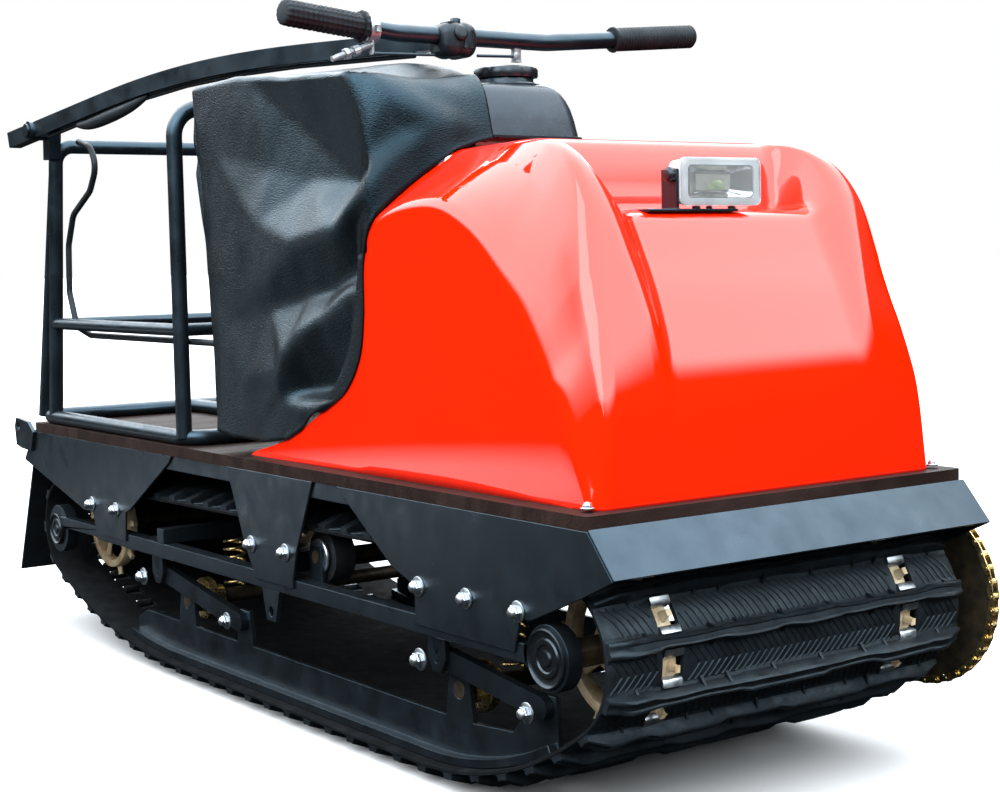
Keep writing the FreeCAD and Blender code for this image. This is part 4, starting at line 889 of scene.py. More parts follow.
def give_wall(piece, gap, thickness, offset, speck=0.0):
    """Weld a skin where points lie within a gap, face it outwards and give it a wall.

    speck is the length under which edges and their faces vanish. Gives the skin's area.
    """
    work = bmesh.new()
    work.from_mesh(piece.data)
    bmesh.ops.remove_doubles(work, verts=work.verts, dist=gap)
    if speck:
        bmesh.ops.dissolve_degenerate(work, edges=work.edges, dist=speck)
    bmesh.ops.recalc_face_normals(work, faces=work.faces)
    if max(work.faces, key=lambda face: face.calc_center_median().z).normal.z < 0:
        bmesh.ops.reverse_faces(work, faces=work.faces)
    area = sum(face.calc_area() for face in work.faces)
    work.to_mesh(piece.data)
    work.free()
    piece.data.shade_smooth()
    wall = piece.modifiers.new("Wall", "SOLIDIFY")
    wall.thickness = thickness
    wall.offset = offset
    return area


def drill(piece, tool):
    """Cut a closed shape out of a piece and keep the result as its mesh."""
    cutter = bpy.data.objects.new("cutter", tool.mesh("cutter"))
    bpy.context.scene.collection.objects.link(cutter)
    piece.modifiers.new("Hole", "BOOLEAN").object = cutter
    graph = bpy.context.evaluated_depsgraph_get()
    mesh = bpy.data.meshes.new_from_object(piece.evaluated_get(graph))
    piece.modifiers.clear()
    piece.data = mesh
    bpy.data.objects.remove(cutter)


class TOW_OT_hood(Operator):
    """Moulded hood with two fenders, a sunk panel, a lamp shelf and a foot lip"""

    bl_idname = "tow.hood"
    bl_label = "Hood"

    def execute(self, context):
        shape = Shape()
        half = hood_grid()
        both = np.concatenate([half, (half * (-1, 1, 1))[:, -2::-1]], axis=1)
        shape.grid(both)
        top_edge = np.vstack([half[:, 0], np.insert(hood_edge()[::-1], 0, 240, axis=1)])
        foot = top_edge * (1, 1, 0) + (0, 0, HOOD[0][2])
        share = np.linspace(0, 1, 24)[:, None, None]
        wall = top_edge + (foot - top_edge) * share
        shape.grid(wall)
        shape.grid(wall * (-1, 1, 1))
        hood = as_piece("hood_shell", shape, gel_coat(),
                        stands_for=["hood"], smooth=50, closed=False)
        give_wall(hood, 0.0004, body_settings().hood_wall, -1)
        tool = Shape()
        tool.turned([(180, 2), (180, 16), (260, 16), (260, 2)],
                    sum(span("jackshaft")) / 2 * (0, 1, 1), steps=40)
        drill(hood, tool)
        return {"FINISHED"}


# ---------------------------------------------------------------- cover

# Creases of the cloth as lines of (y, z, rise) on its side, rises in millimetres out
# from the smooth skin. Between the lines the cloth lies in flat triangles.
CREASES = (
    ((190, 799, 0), (60, 798, 0), (9, 796, 0), (-130, 791, 0), (-263, 783, 3)),
    ((9, 796, 0), (-91, 728, -18), (-205, 657, -30), (-335, 708, -5)),
    ((-263, 783, 3), (-308, 752, 9), (-396, 716, 17), (-455, 713, 17), (-520, 713, 10)),
    ((95, 706, 0), (-30, 682, -7), (-110, 664, -19), (-205, 657, -36)),
    ((95, 680, 0), (40, 650, 3), (-20, 618, 8), (-111, 594, 13), (-196, 606, 13),
     (-262, 646, 14), (-322, 687, 14), (-396, 716, 17)),
    ((-111, 594, 13), (-50, 562, 9), (30, 528, 4), (84, 496, 0)),
    ((84, 496, 0), (-20, 512, -8), (-100, 526, -16), (-160, 536, -19), (-212, 552, -17),
     (-262, 560, -6)),
    ((-236, 598, -8), (-262, 590, -4)),
    ((-207, 531, 3), (-250, 536, 6)),
    ((-207, 531, 3), (-160, 505, 7), (-110, 485, 11), (-75, 460, 12), (-58, 438, 10),
     (-50, 415, 5), (-56, 404, 1)),
    ((-240, 500, -9), (-216, 446, -22), (-160, 420, -25), (-100, 414, -20), (-56, 404, 1)),
    ((-56, 404, 1), (-118, 401, 6), (-200, 409, 5)),
    ((-70, 352, -3), (-150, 384, -4), (-200, 398, -2)),
    ((120, 640, 0), (112, 560, 0), (100, 470, 1), (40, 420, 2), (36, 350, 0)),
    ((160, 790, 0), (152, 640, -3), (140, 500, -3), (112, 353, 1)),
)


def crease_net():
    """Flat triangles between the creases: corners (y, z), their rises, and the triples."""
    corners = np.array([point for line in CREASES for point in line]
                       + [(y, z, 0) for y in (-900, 500) for z in (150, 1000)], float)
    first = np.cumsum([0] + [len(line) for line in CREASES])
    edges = [(index, index + 1) for low, high in zip(first[:-1], first[1:])
             for index in range(low, high - 1)]
    places, _, triples, origins, _, _ = delaunay_2d_cdt(
        [Vector(corner[:2]) for corner in corners], edges, [], 0, 0.01)
    rises = np.array([corners[origin[0], 2] for origin in origins])
    return np.array([tuple(place) for place in places]), rises, np.array(triples)


def fold_rise(along, height):
    """Rise of the creased cloth at side coordinates (y, z).

    In a triangle the rise is the mean of its corners', weighed by the share of the area
    opposite each. The mean over a small rosette of places rounds the creases off.
    """
    places, rises, triples = crease_net()
    total = np.zeros(np.shape(along))
    for reach, count in ((0, 1), (4, 6), (8.5, 8)):
        turn = np.arange(count) * math.tau / count
        for shift_y, shift_z in zip(reach * np.cos(turn), reach * np.sin(turn)):
            y, z = along + shift_y, height + shift_z
            level = np.zeros(np.shape(along))
            for triple in triples:
                (ay, az), (by, bz), (cy, cz) = places[triple]
                area = (by - ay) * (cz - az) - (cy - ay) * (bz - az)
                if abs(area) < 1e-6:
                    continue
                first = ((by - y) * (cz - z) - (cy - y) * (bz - z)) / area
                second = ((cy - y) * (az - z) - (ay - y) * (cz - z)) / area
                inside = (first >= -1e-9) & (second >= -1e-9) & (first + second <= 1 + 1e-9)
                value = (first * rises[triple[0]] + second * rises[triple[1]]
                         + (1 - first - second) * rises[triple[2]])
                level = np.where(inside, value, level)
            total += level / 15
    return total * body_settings().fold_depth


# The front border of the cloth on the right, from the hem up, over the hood's shoulder
# and in towards the tank. The left border matches it up to the shoulder and then runs
# straight across behind the hood's crest.
SIDE_BORDER = [(-241.5, -150, 394), (-241.5, -201, 420), (-241.5, -233, 459),
               (-241.5, -244, 505), (-241.5, -246, 560), (-241, -254, 592),
               (-236, -268, 618), (-212, -274, 641), (-187, -281, 661)]
CUT_X = -83
BORDERS = {-1: curve(SIDE_BORDER + [(-165, -296, 678), (-143, -305, 691), (-110, -296, 701),
                                    (CUT_X, -282, 707)], 12),
           1: curve([(-x, y, z) for x, y, z in SIDE_BORDER]
                    + [(160, -290, 680), (110, -290, 691), (20, -290, 700),
                       (CUT_X, -282, 707)], 12)}
CORNER = 16.0
SHOULDER_ROUND = 6.0
SKIN_HALF = 243.0


def cover_top(x, y, near):
    """Height of the cloth's top, highest along the cut and lower at the side's edge."""
    edge = np.interp(y, [-300, -284, -231, -79, 34, 116, 157, 190],
                     [742, 765, 781, 787, 798, 801, 799, 800])
    inner = np.interp(y, [-300, -262, -240, -200, -165, -123, 30, 190],
                      [728, 772, 780, 791, 799, 801, 801, 801])
    foot = np.interp(np.abs(x), [80, 125], [709, 690])
    step = y - 88 * smooth_step((x - 90) / 90)
    far = np.where(step < -76, foot, np.interp(step, [-76, -48, 190], [713, 794, 801]))
    high = edge + (inner - edge) * smooth_step((x + 225) / 110)
    sag = 2.5 * np.sin((y + 20) / 61) * np.cos(x / 74) - 2 * np.sin(x / 29 + y / 47)
    return np.where(near, high, far) + sag * np.clip((y + 290) / 120, 0, 1)


def cover_rear(height):
    """y of the cover's rear face, which slants in towards its hem."""
    return np.interp(height, [346, 803], [129, 173])


def hem_height(along):
    """Height of the hem from the front border to the rear face."""
    return np.interp(along, [-150, -60, -2, 71, 119], [390, 354, 347, 348, 354])


def leap(value, level):
    """An even climb low down, and higher up one that starts steeply and flattens out."""
    value = np.clip(value, 0, 1)
    steep = smooth_step((level - 0.6) / 0.4)
    return smooth_step(value) * (1 - steep) + (1 - (1 - value) ** 1.9) * steep


def cover_half(side, columns=110, corner=12, rear=34, skirt=84, top=46):
    """One half of the cloth, as a grid from the hem over the top to the cut line.

    Rows run along the outline of the machine seen from above: the side, a round corner,
    half of the rear. Columns run up the skirt, round the shoulder and in over the top.
    """
    near = side < 0
    level = np.concatenate([np.linspace(0, 1, skirt, endpoint=False),
                            np.linspace(1, 2, top + 9)])
    rows = columns + corner + rear
    share = np.clip(np.arange(rows) / (columns - 1), 0, 1)[:, None] ** 1.25
    turn = np.clip((np.arange(rows) - columns + 1) / corner, 0, 1)[:, None] * math.pi / 2
    slide = np.clip((np.arange(rows) - columns - corner + 1) / rear, 0, 1)[:, None]
    border = BORDERS[side]
    knots = np.linspace(0, 1, len(border))
    edge = lattice(*(np.interp(level / 2, knots, column) for column in border.T))
    up = np.clip(level, 0, 1)[None]
    over = np.clip((level - 1) * (top + 8) / 8, 0, 1)[None] * math.pi / 2
    inward = np.clip(((level - 1) * (top + 8) - 8) / top, 0, 1)[None]

    back = cover_rear(346 + 450 * up) - CORNER
    along = edge[None, :, 1] + (back - edge[None, :, 1]) * share
    rim = cover_top(np.full_like(along, side * SKIN_HALF), along, near) - SHOULDER_ROUND
    height = hem_height(along) + (rim - hem_height(along)) * up + SHOULDER_ROUND * np.sin(over)
    pulled = SHOULDER_ROUND * (1 - np.cos(over))
    x = SKIN_HALF - CORNER * (1 - np.cos(turn)) - slide * (SKIN_HALF - CORNER)
    y = along + CORNER * np.sin(turn)
    x = x - pulled * np.cos(turn) * (1 - slide)
    y = y - pulled * np.sin(turn)
    x = side * x
    target_y = edge[-1, 1] + (back[:, -1:] - edge[-1, 1]) * share
    x = x + (CUT_X - x) * inward
    y = y + (target_y - y) * inward
    height = np.where(inward > 0, cover_top(x, y, near), height)
    settle = leap(share / np.interp(level, [0, 0.8, 1, 1.3, 2], [0.30, 0.20, 0.11, 0.10, 0.09]),
                  level)
    rise = leap(share / np.interp(level, [0, 0.9, 1.25, 2], [0.22, 0.16, 0.11, 0.10]), level)
    x = edge[None, :, 0] + (x - edge[None, :, 0]) * settle
    height = edge[None, :, 2] + (height - edge[None, :, 2]) * rise
    return lattice(x, y, height)


def surface_normals(points):
    """Unit normals of a grid from its two directions."""
    first, second = np.gradient(points, axis=0), np.gradient(points, axis=1)
    return unit(np.cross(first, second) + 1e-9)


def fold_cover(points, side):
    """Push a half of the cloth out along its normals by its creases.

    Where the skin leaves the side's plane the creases carry on at a slant towards the rear.
    """
    normal = surface_normals(points) * side
    x, y, z = np.moveaxis(points, -1, 0)
    facing_out = smooth_step((np.abs(normal[..., 0]) + np.maximum(-normal[..., 1], 0) - 0.3)
                             / 0.45)
    facing_back = smooth_step((normal[..., 1] - 0.35) / 0.5)
    facing_up = smooth_step((normal[..., 2] - 0.45) / 0.4)
    along = (y if side < 0 else 0.9 * y - 22) - 1.5 * (SKIN_HALF - np.abs(x))
    lift = facing_out * (1 - facing_back) * (1 if side < 0 else 0.8) * fold_rise(along, z)
    lift += facing_back * 0.5 * fold_rise(-150 + x * side * -0.85, z + 8)
    lift += facing_up * 0.2 * fold_rise(y + 16, 560 + x * 0.7)
    slow = grain(points * (1, 1, 0.6), 150, 4) * 1.2 + grain(points, 60, 5) * 0.5
    free = smooth_step(np.arange(points.shape[0]) / 12)[:, None]
    hem = 2.2 * np.sin(np.arange(points.shape[0]) / 7.5)[:, None] \
        * np.exp(-np.arange(points.shape[1]) / 9)[None]
    folded = points + normal * ((lift + slow) * free + hem)[..., None]
    return clear_of_hood(folded, 1.6)


@cache
def leather_cloth():
    """Dark leather cloth: level grain, random tone, a painted highlight where folds stand out,
    painted shade and weaker reflections by the hood.
    """
    colour = body_settings().cover_colour
    # Specular Tint colours every reflection blue: a painted blue sky in the reflections.
    look = Finish("leather cloth", colour, 0.33, Specular_IOR_Level=0.57,
                  Specular_Tint=(0.38, 0.74, 1.0))
    # The rows by the hood's edge get painted shade: weaker reflections and a darker colour.
    tuck_shade = look.attribute("tuck_shade")
    look.set(look.shader, "Specular IOR Level", look.ranged(tuck_shade, 0, 1, 0.57, 0.18))
    # Colour: random tone, plus a painted highlight where the folds push out, minus painted shade
    # by the hood.
    tone_and_painted_light = look.sum(look.ranged(look.attribute("fold"), 0.2, 1.0, 0, 0.6),
                    look.noise(16, 5, roughness=0.6), 0.6)
    tone_and_painted_light = look.sum(tone_and_painted_light, tuck_shade, -0.5)
    look.tint(look.ranged(tone_and_painted_light, 0.25, 1.0), shade(colour, 0.55), shade(colour, 1.7))
    look.polish(look.noise(26, 4), 0.3, 0.7, 0.28, 0.38)
    return look.bump((look.noise(230, 4, (1, 0.9, 2.6), 0.6), 0.0006),
                     (look.cells(520, (1, 0.8, 1.5)), 0.00022))


class TOW_OT_cover(Operator):
    """Leather cloth draped over the engine, open at the hood and round the tank"""

    bl_idname = "tow.cover"
    bl_label = "Cover"

    def execute(self, context):
        shape = Shape()
        tank_high = span("fuel_tank")[1]
        levels, tucks = [], []
        for side in (-1, 1):
            flat = cover_half(side)
            points = fold_cover(flat, side)
            middle = (points[:-1, :-1] + points[1:, 1:]) / 2
            inside = ((middle[..., 0] > CUT_X + 2) & (middle[..., 0] < tank_high[0] + 1)
                      & (middle[..., 1] < tank_high[1] + 1) & (middle[..., 2] < 760))
            shape.grid(points, keep=~inside)
            levels.append(np.einsum("ijk,ijk->ij", points - flat,
                                    surface_normals(flat) * side).ravel())
            # Rows by the hood's edge, which the finish paints as shade.
            tuck_shade = 1 - smooth_step(np.arange(points.shape[0]) / 20)[:, None]
            tucks.append(np.broadcast_to(tuck_shade, points.shape[:2]).ravel())
        cover = as_piece("cover_cloth", shape, leather_cloth(),
                         stands_for=["engine_cover"], smooth=80, closed=False)
        # How far the folds push out, which the finish paints as a highlight, and the rows by the
        # hood that it paints as shade.
        for name, values in (("fold", np.concatenate(levels) / 14),
                             ("tuck_shade", np.concatenate(tucks))):
            layer = cover.data.attributes.new(name, "FLOAT", "POINT")
            layer.data.foreach_set("value", np.clip(values, 0, 1))
        area = give_wall(cover, 0.0007, body_settings().cover_wall, 0, speck=0.00005)
        return {"FINISHED"}


# ---------------------------------------------------------------- track

DRIVE = (-597.0, 180.0)
IDLER = (639.4, 168.0)
DRIVE_TEETH, IDLER_TEETH = 10, 9
NOSE_ARC, TAIL_ARC = 515.0, 983.0
WINDOW_X, WINDOW_WIDE, WINDOW_LONG = 168.0, 27.0, 25.0


class Loop:
    """The belt's pitch line seen from the side, sampled finely: front wheel first.

    It is made of arcs (centre, radius, first angle, last angle) and straight runs, each
    tangent to the next: wheel, nose arc, ground, tail arc, wheel, return run.
    """

    def __init__(self):
        settings = running_settings()
        pitch = settings.belt_pitch / MM
        front, rear = DRIVE_TEETH * pitch / math.tau, IDLER_TEETH * pitch / math.tau
        ground = (settings.lug_height + settings.belt_thickness / 2) / MM
        nose = self.below(DRIVE, front, NOSE_ARC, ground, 1)
        tail = self.below(IDLER, rear, TAIL_ARC, ground, -1)
        down = 1.5 * math.pi
        nose_angle = math.atan2(DRIVE[1] - nose[1], DRIVE[0] - nose[0]) % math.tau
        tail_angle = math.atan2(IDLER[1] - tail[1], IDLER[0] - tail[0]) % math.tau
        reach = math.dist(DRIVE, IDLER)
        top = (math.pi / 2 - math.atan2(DRIVE[1] - IDLER[1], IDLER[0] - DRIVE[0])
               - math.asin((front - rear) / reach))
        arcs = [(DRIVE, front, top, nose_angle), (nose, NOSE_ARC, nose_angle, down),
                (tail, TAIL_ARC, down, tail_angle), (IDLER, rear, tail_angle, top + math.tau)]
        lines = [self.arc(*arc) for arc in arcs]
        lines.insert(2, self.run(lines[1], lines[2]))
        lines.append(self.run(lines[-1], lines[0]))
        samples = np.concatenate([line[:-1] for line in lines])
        samples = np.vstack([samples, samples[:1]])
        steps = np.linalg.norm(np.diff(samples[:, :2], axis=0), axis=1)
        self.along = np.concatenate([[0], np.cumsum(steps)])
        self.samples = samples
        self.length = self.along[-1]
        self.count = round(self.length / pitch)
        self.pitch = self.length / self.count
        to_ground = sum(len(line) - 1 for line in lines[:2])
        self.first = (self.along[to_ground] - nose[0]) % self.pitch
        self.arcs = arcs

    @staticmethod
    def below(axle, wheel, radius, ground, side):
        rise = axle[1] - ground - radius
        return (axle[0] + side * math.sqrt((radius - wheel) ** 2 - rise ** 2), ground + radius)

    @staticmethod
    def arc(centre, radius, first, last):
        angle = np.linspace(first, last, max(int((last - first) * radius), 8))
        return np.hstack([centre + on_circle(radius, angle), on_circle(1, angle)])

    @staticmethod
    def run(before, after):
        share = np.linspace(0, 1, 200)[:, None]
        return before[-1] + (after[0] - before[-1]) * share

    def starts(self):
        """Distance along the belt to each lug."""
        return self.first + np.arange(self.count) * self.pitch

    def lay(self, points):
        """(x, distance along the belt, height above its middle) to a place in space."""
        points = np.asarray(points, float)
        along = points[..., 1] % self.length
        y, z, out_y, out_z = (np.interp(along, self.along, column)
                              for column in self.samples.T)
        return lattice(points[..., 0], y + out_y * points[..., 2], z + out_z * points[..., 2])


def belt_band(shape, loop, half, thick):
    """The flat band: rows along the loop, a thin rectangle across, with windows."""
    pitch = loop.pitch
    edge = (pitch - WINDOW_LONG) / 2
    row = np.array([0, edge / 2, edge, edge + 6.25, edge + 12.5, edge + 18.75,
                    edge + WINDOW_LONG, pitch - edge / 2])
    along = (loop.starts()[:, None] + row).ravel()
    near, far = WINDOW_X - WINDOW_WIDE / 2, WINDOW_X + WINDOW_WIDE / 2
    across = np.array([-half, 2 - half, -far, -near, near, far, half - 2, half])
    outer = thick / 2 - (np.abs(across) == half)
    x = np.concatenate([across, across[::-1]])
    height = np.concatenate([outer, -outer])
    points = lattice(x[None], along[:, None], height[None])
    solid = np.ones((len(along), len(x)), bool)
    rows = (np.arange(len(along)) % 8 >= 2) & (np.arange(len(along)) % 8 <= 5)
    for column in (2, 4, 10, 12):
        solid[rows, column] = False
    inner = np.arange(len(x)) >= 8
    for paint, side in enumerate((~inner, inner)):
        shape.paint = paint
        shape.grid(points, wrap=(True, True), keep=solid & side)
    wall = Shape()
    outline = np.concatenate([lattice(near, row[2:7]), lattice(far, row[2:7][::-1])])
    level = np.array([thick / 2, -thick / 2])[:, None]
    wall.grid(lattice(outline[:, 0], outline[:, 1], level), wrap=(False, True))
    for shift in (0, -near - far):
        shape.stamp(wall, lattice(shift, loop.starts(), 0))
    shape.paint = 0


def rib_field(kind, half, thick, rib_pitch):
    """Fine slanting ribs between two lugs, in belt coordinates (x, along, height).

    kind 0 is a row of arrow shapes, kind 1 slants one way. Each rib is a low ridge.
    """
    shape = Shape()
    low, high = 9.5, 41.0
    middle = (low + high) / 2
    lean = 13.0 if kind == 0 else 21.0
    clear = WINDOW_WIDE / 2 + 4
    section = np.array([(-2.6, -0.3), (-1.1, 1.25), (1.1, 1.25), (2.6, -0.3)])
    for x in np.arange(-half + 6, half - 12, rib_pitch):
        if kind == 0:
            ends = np.array([(x, low), (x + lean, middle), (x, high)])
        else:
            ends = np.array([(x, low), (x + lean / 2 + 2.5, middle), (x + lean, high)])
        free = np.abs(np.abs(ends[:, 0]) - WINDOW_X) >= clear
        if free.sum() < 2 or ends[:, 0].max() > half - 3:
            continue
        ends = ends[free, None]
        shape.tube(lattice(ends[..., 0] + section[:, 0], ends[..., 1],
                           thick / 2 + section[:, 1]))
    return shape


def lug_shape(kind, half, thick, tall, stations=40):
    """One lug in belt coordinates: a ridge whose height and width change along x.

    Height = tall * share(x); the share drops at the ends and steps up at moulded blocks.
    """
    x = np.linspace(-half + 0.5, half - 0.5, stations)
    edge = smooth_step((half - np.abs(x)) / 26)
    blocks = (((-18, 62), (150, 40)), ((70, 56), (-120, 46)), ((-70, 40), (20, 30)))[kind]
    share, width = 0.80, 1.0
    for centre, reach in blocks:
        inside = smooth_step((reach - np.abs(x - centre)) / 6)
        share = np.maximum(share, 0.80 + 0.20 * inside)
        width = width + 0.32 * inside
    outer = smooth_step((np.abs(x) - 190) / 10)
    width = width + 0.45 * outer
    share = np.maximum(share, 0.92 * outer)
    ragged = 1 + 0.05 * np.sin(x * 0.73 + kind * 2) * np.sin(x * 0.31 + 1 + kind)
    share = np.minimum(share * ragged, 1.0) * (0.42 + 0.58 * edge)
    across = np.array([(-8.5, 0), (-5.6, 0.16), (-4.9, 0.88), (-3.8, 1.0), (-2.3, 0.97),
                       (-1.5, 0.87), (1.5, 0.87), (2.3, 0.97), (3.8, 1.0), (4.9, 0.88),
                       (5.6, 0.16), (8.5, 0)])
    shape = Shape()
    points = lattice(x[:, None], across[:, 0] * width[:, None],
                     thick / 2 - 0.2 + across[:, 1] * (share * (tall + 0.2))[:, None])
    points[..., 1] += (0.5 * np.sin(x * 0.9 + kind))[:, None] * (across[:, 1] > 0.5)
    shape.tube(points)
    for x0 in np.array([-214, -130, -96, -34, 34, 96, 130, 214]) + 6 * kind:
        for side in (-1, 1):
            base = np.array([(x0 - 1.6, side * 4.5, thick / 2 - 0.2),
                             (x0 + 1.6, side * 4.5, thick / 2 - 0.2)])
            tip, toe = base + (0, 0, tall * 0.72), base + (0, side * 7, 0)
            shape.tube(np.stack([base, tip, toe], 1))
    return shape


@cache
def track_finish():
    """Black rubber with a bluish bloom in patches."""
    colour = running_settings().rubber_colour
    # Specular Tint colours every reflection blue: a painted blue sky in the reflections.
    look = Finish("track rubber", colour, 0.5, Specular_IOR_Level=0.34,
                  Specular_Tint=(0.60, 0.83, 1.0))
    bloom = look.ranged(look.noise(42, 6, roughness=0.64), 0.44, 0.74)
    look.tint(bloom, colour, (colour[0] * 2.1, colour[1] * 2.6, colour[2] * 3.0))
    look.polish(look.noise(90, 4), 0.3, 0.72, 0.38, 0.62)
    return look.bump((look.noise(420, 3), 0.00022), (look.noise(80, 4), 0.0003))


@cache
def carcass_finish():
    """Dull woven face of the belt's inside: dry rubber over cords, no gloss."""
    colour = running_settings().rubber_colour
    look = Finish("belt carcass", colour, 0.9, Specular_IOR_Level=0.04)
    look.tint(look.ranged(look.noise(34, 5, roughness=0.6), 0.42, 0.72), colour,
              shade(colour, 2.2))
    look.polish(look.noise(60, 3), 0.3, 0.7, 0.78, 0.95)
    return look.bump((look.cells(520), 0.0001))


class TOW_OT_track(Operator):
    """Endless belt with windows, fine ribs, lugs and pressed clips"""

    bl_idname = "tow.track"
    bl_label = "Track"

    def execute(self, context):
        settings = running_settings()
        loop = Loop()
        half = TRACK[1][0]
        thick, tall = settings.belt_thickness / MM, settings.lug_height / MM
        flat = Shape()
        belt_band(flat, loop, half, thick)
        order, starts = np.arange(loop.count), loop.starts()
        for kind in (0, 1):
            flat.stamp(rib_field(kind, half, thick, settings.rib_pitch / MM),
                       lattice(0, starts[order % 2 == kind], 0))
        for kind in (0, 1, 2):
            flat.stamp(lug_shape(kind, half, thick, tall),
                       lattice(0, starts[order % 3 == kind], 0))
        flat.points = [loop.lay(np.concatenate(flat.points))]
        as_piece("track_belt", flat, (track_finish(), carcass_finish()),
                 stands_for=["track"], smooth=38)

        clips, one = Shape(), Shape()
        outline = np.array([(-13.6, -5.4), (-14.6, -4.8), (-15.0, 2.4), (-13.2, 4.9),
                            (-7.4, 6.4), (-7.2, 4.6), (-12.4, 3.3), (-13.4, 2.0)])
        x = np.array([-12.5, -11.5, 11.5, 12.5])[:, None]
        size = np.array([0.86, 1, 1, 0.86])[:, None, None]
        middle = outline.mean(0)
        section = middle + (outline - middle) * size
        for side in (-1, 1):
            one.tube(lattice(x, side * section[..., 0], section[..., 1]))
        for x in (-WINDOW_X, WINDOW_X):
            clips.stamp(one, lattice(x, starts, 0))
        clips.points = [loop.lay(np.concatenate(clips.points))]
        as_piece("track_clips", clips, bright_zinc(), smooth=40)
        return {"FINISHED"}


# ---------------------------------------------------------------- wheels and chain

def tooth_phase(loop, arc):
    """Angle of a window's middle on the wheel that one arc of the loop wraps."""
    centre, radius, first, _ = loop.arcs[arc]
    start = 0.0
    if arc == 3:
        point = centre + on_circle(radius, first)
        gap = np.linalg.norm(loop.samples[:, :2] - point, axis=1)
        start = loop.along[np.argmin(gap)]
    index = math.ceil((start - loop.first) / loop.pitch - 0.5)
    return first + (loop.first + (index + 0.5) * loop.pitch - start) / radius


def cast_wheel(shape, centre, radius, teeth, phase, bore):
    """Two toothed wheels: a rim, a hub, five spokes and bulb-shaped teeth each."""
    rim = radius - 3.2
    tooth = Shape()
    tooth.block((-8.5, -11, -7), (8.5, 11, 12.4), 4.5, 4)
    points = np.concatenate(tooth.points)
    slim = smooth_step((points[:, 2:] + 2) / 14)
    tooth.points = [points * (1 - slim * (0.22, 0.42, 0))]
    spoke = Shape()
    spoke.block((-4, -9, 18), (4, 9, rim - 8), 2.5, 3)
    for x in (-WINDOW_X, WINDOW_X):
        middle = np.array((x, *centre))
        for low, high, wide in ((bore, bore + 11, 12.0), (rim - 11, rim, 9.0)):
            shape.grid(ring_of(middle, rounded_ring(wide, (high - low) / 2, 1.6, 3),
                               (low + high) / 2, 60), wrap=(True, True))
        for part, count, reach in ((tooth, teeth, rim), (spoke, 5, 0)):
            angle = phase + np.arange(count) * math.tau / count
            shape.stamp(part, middle + lattice(0, *on_circle(reach, angle).T),
                        spin(angle - math.pi / 2))


def ring_of(centre, outline, radius, steps):
    """A closed outline of (x, out) turned about the X axis at a radius."""
    angle = np.linspace(0, math.tau, steps, endpoint=False)[:, None]
    out = radius + outline[:, 1]
    return centre + lattice(outline[:, 0], out * np.cos(angle), out * np.sin(angle))


CHAIN_X = 282.0
CHAIN_BIG, CHAIN_SMALL = 104.0, 28.0
JACKSHAFT = (-200.0, 374.0)


def chain_line():
    """Pitch line of the chain: round the big wheel, a run, the small wheel, a run back."""
    reach = math.dist(DRIVE, JACKSHAFT)
    lean = math.atan2(JACKSHAFT[1] - DRIVE[1], JACKSHAFT[0] - DRIVE[0])
    open_angle = math.acos((CHAIN_BIG - CHAIN_SMALL) / reach)
    big = np.linspace(lean + open_angle, lean + math.tau - open_angle, 300)
    small = np.linspace(lean - open_angle, lean + open_angle, 80)
    line = np.concatenate([DRIVE + on_circle(CHAIN_BIG, big),
                           JACKSHAFT + on_circle(CHAIN_SMALL, small)])
    line = np.vstack([line, line[:1]])
    length = np.linalg.norm(np.diff(line, axis=0), axis=1).sum()
    links = 2 * round(length / (running_settings().chain_pitch / MM) / 2)
    return even(line, links + 1)[:-1]


def toothed_plate(shape, centre, x, root, tip, teeth, thick, bore):
    """A flat sprocket: radius = root + rise of a smooth tooth wave, thin at its tips."""
    angle = np.linspace(0, math.tau, teeth * 8, endpoint=False)
    wave = (0.5 + 0.5 * np.cos(angle * teeth)) ** 1.5
    outer = root + (tip - root) * wave
    layers = [(bore, -thick / 2), (root - 9, -thick / 2), (outer, -thick / 2 + 0.7),
              (outer, thick / 2 - 0.7), (root - 9, thick / 2), (bore, thick / 2)]
    shape.grid(np.array([lattice(x + side, centre[0] + radius * np.cos(angle),
                                 centre[1] + radius * np.sin(angle))
                         for radius, side in layers]), wrap=(True, True))


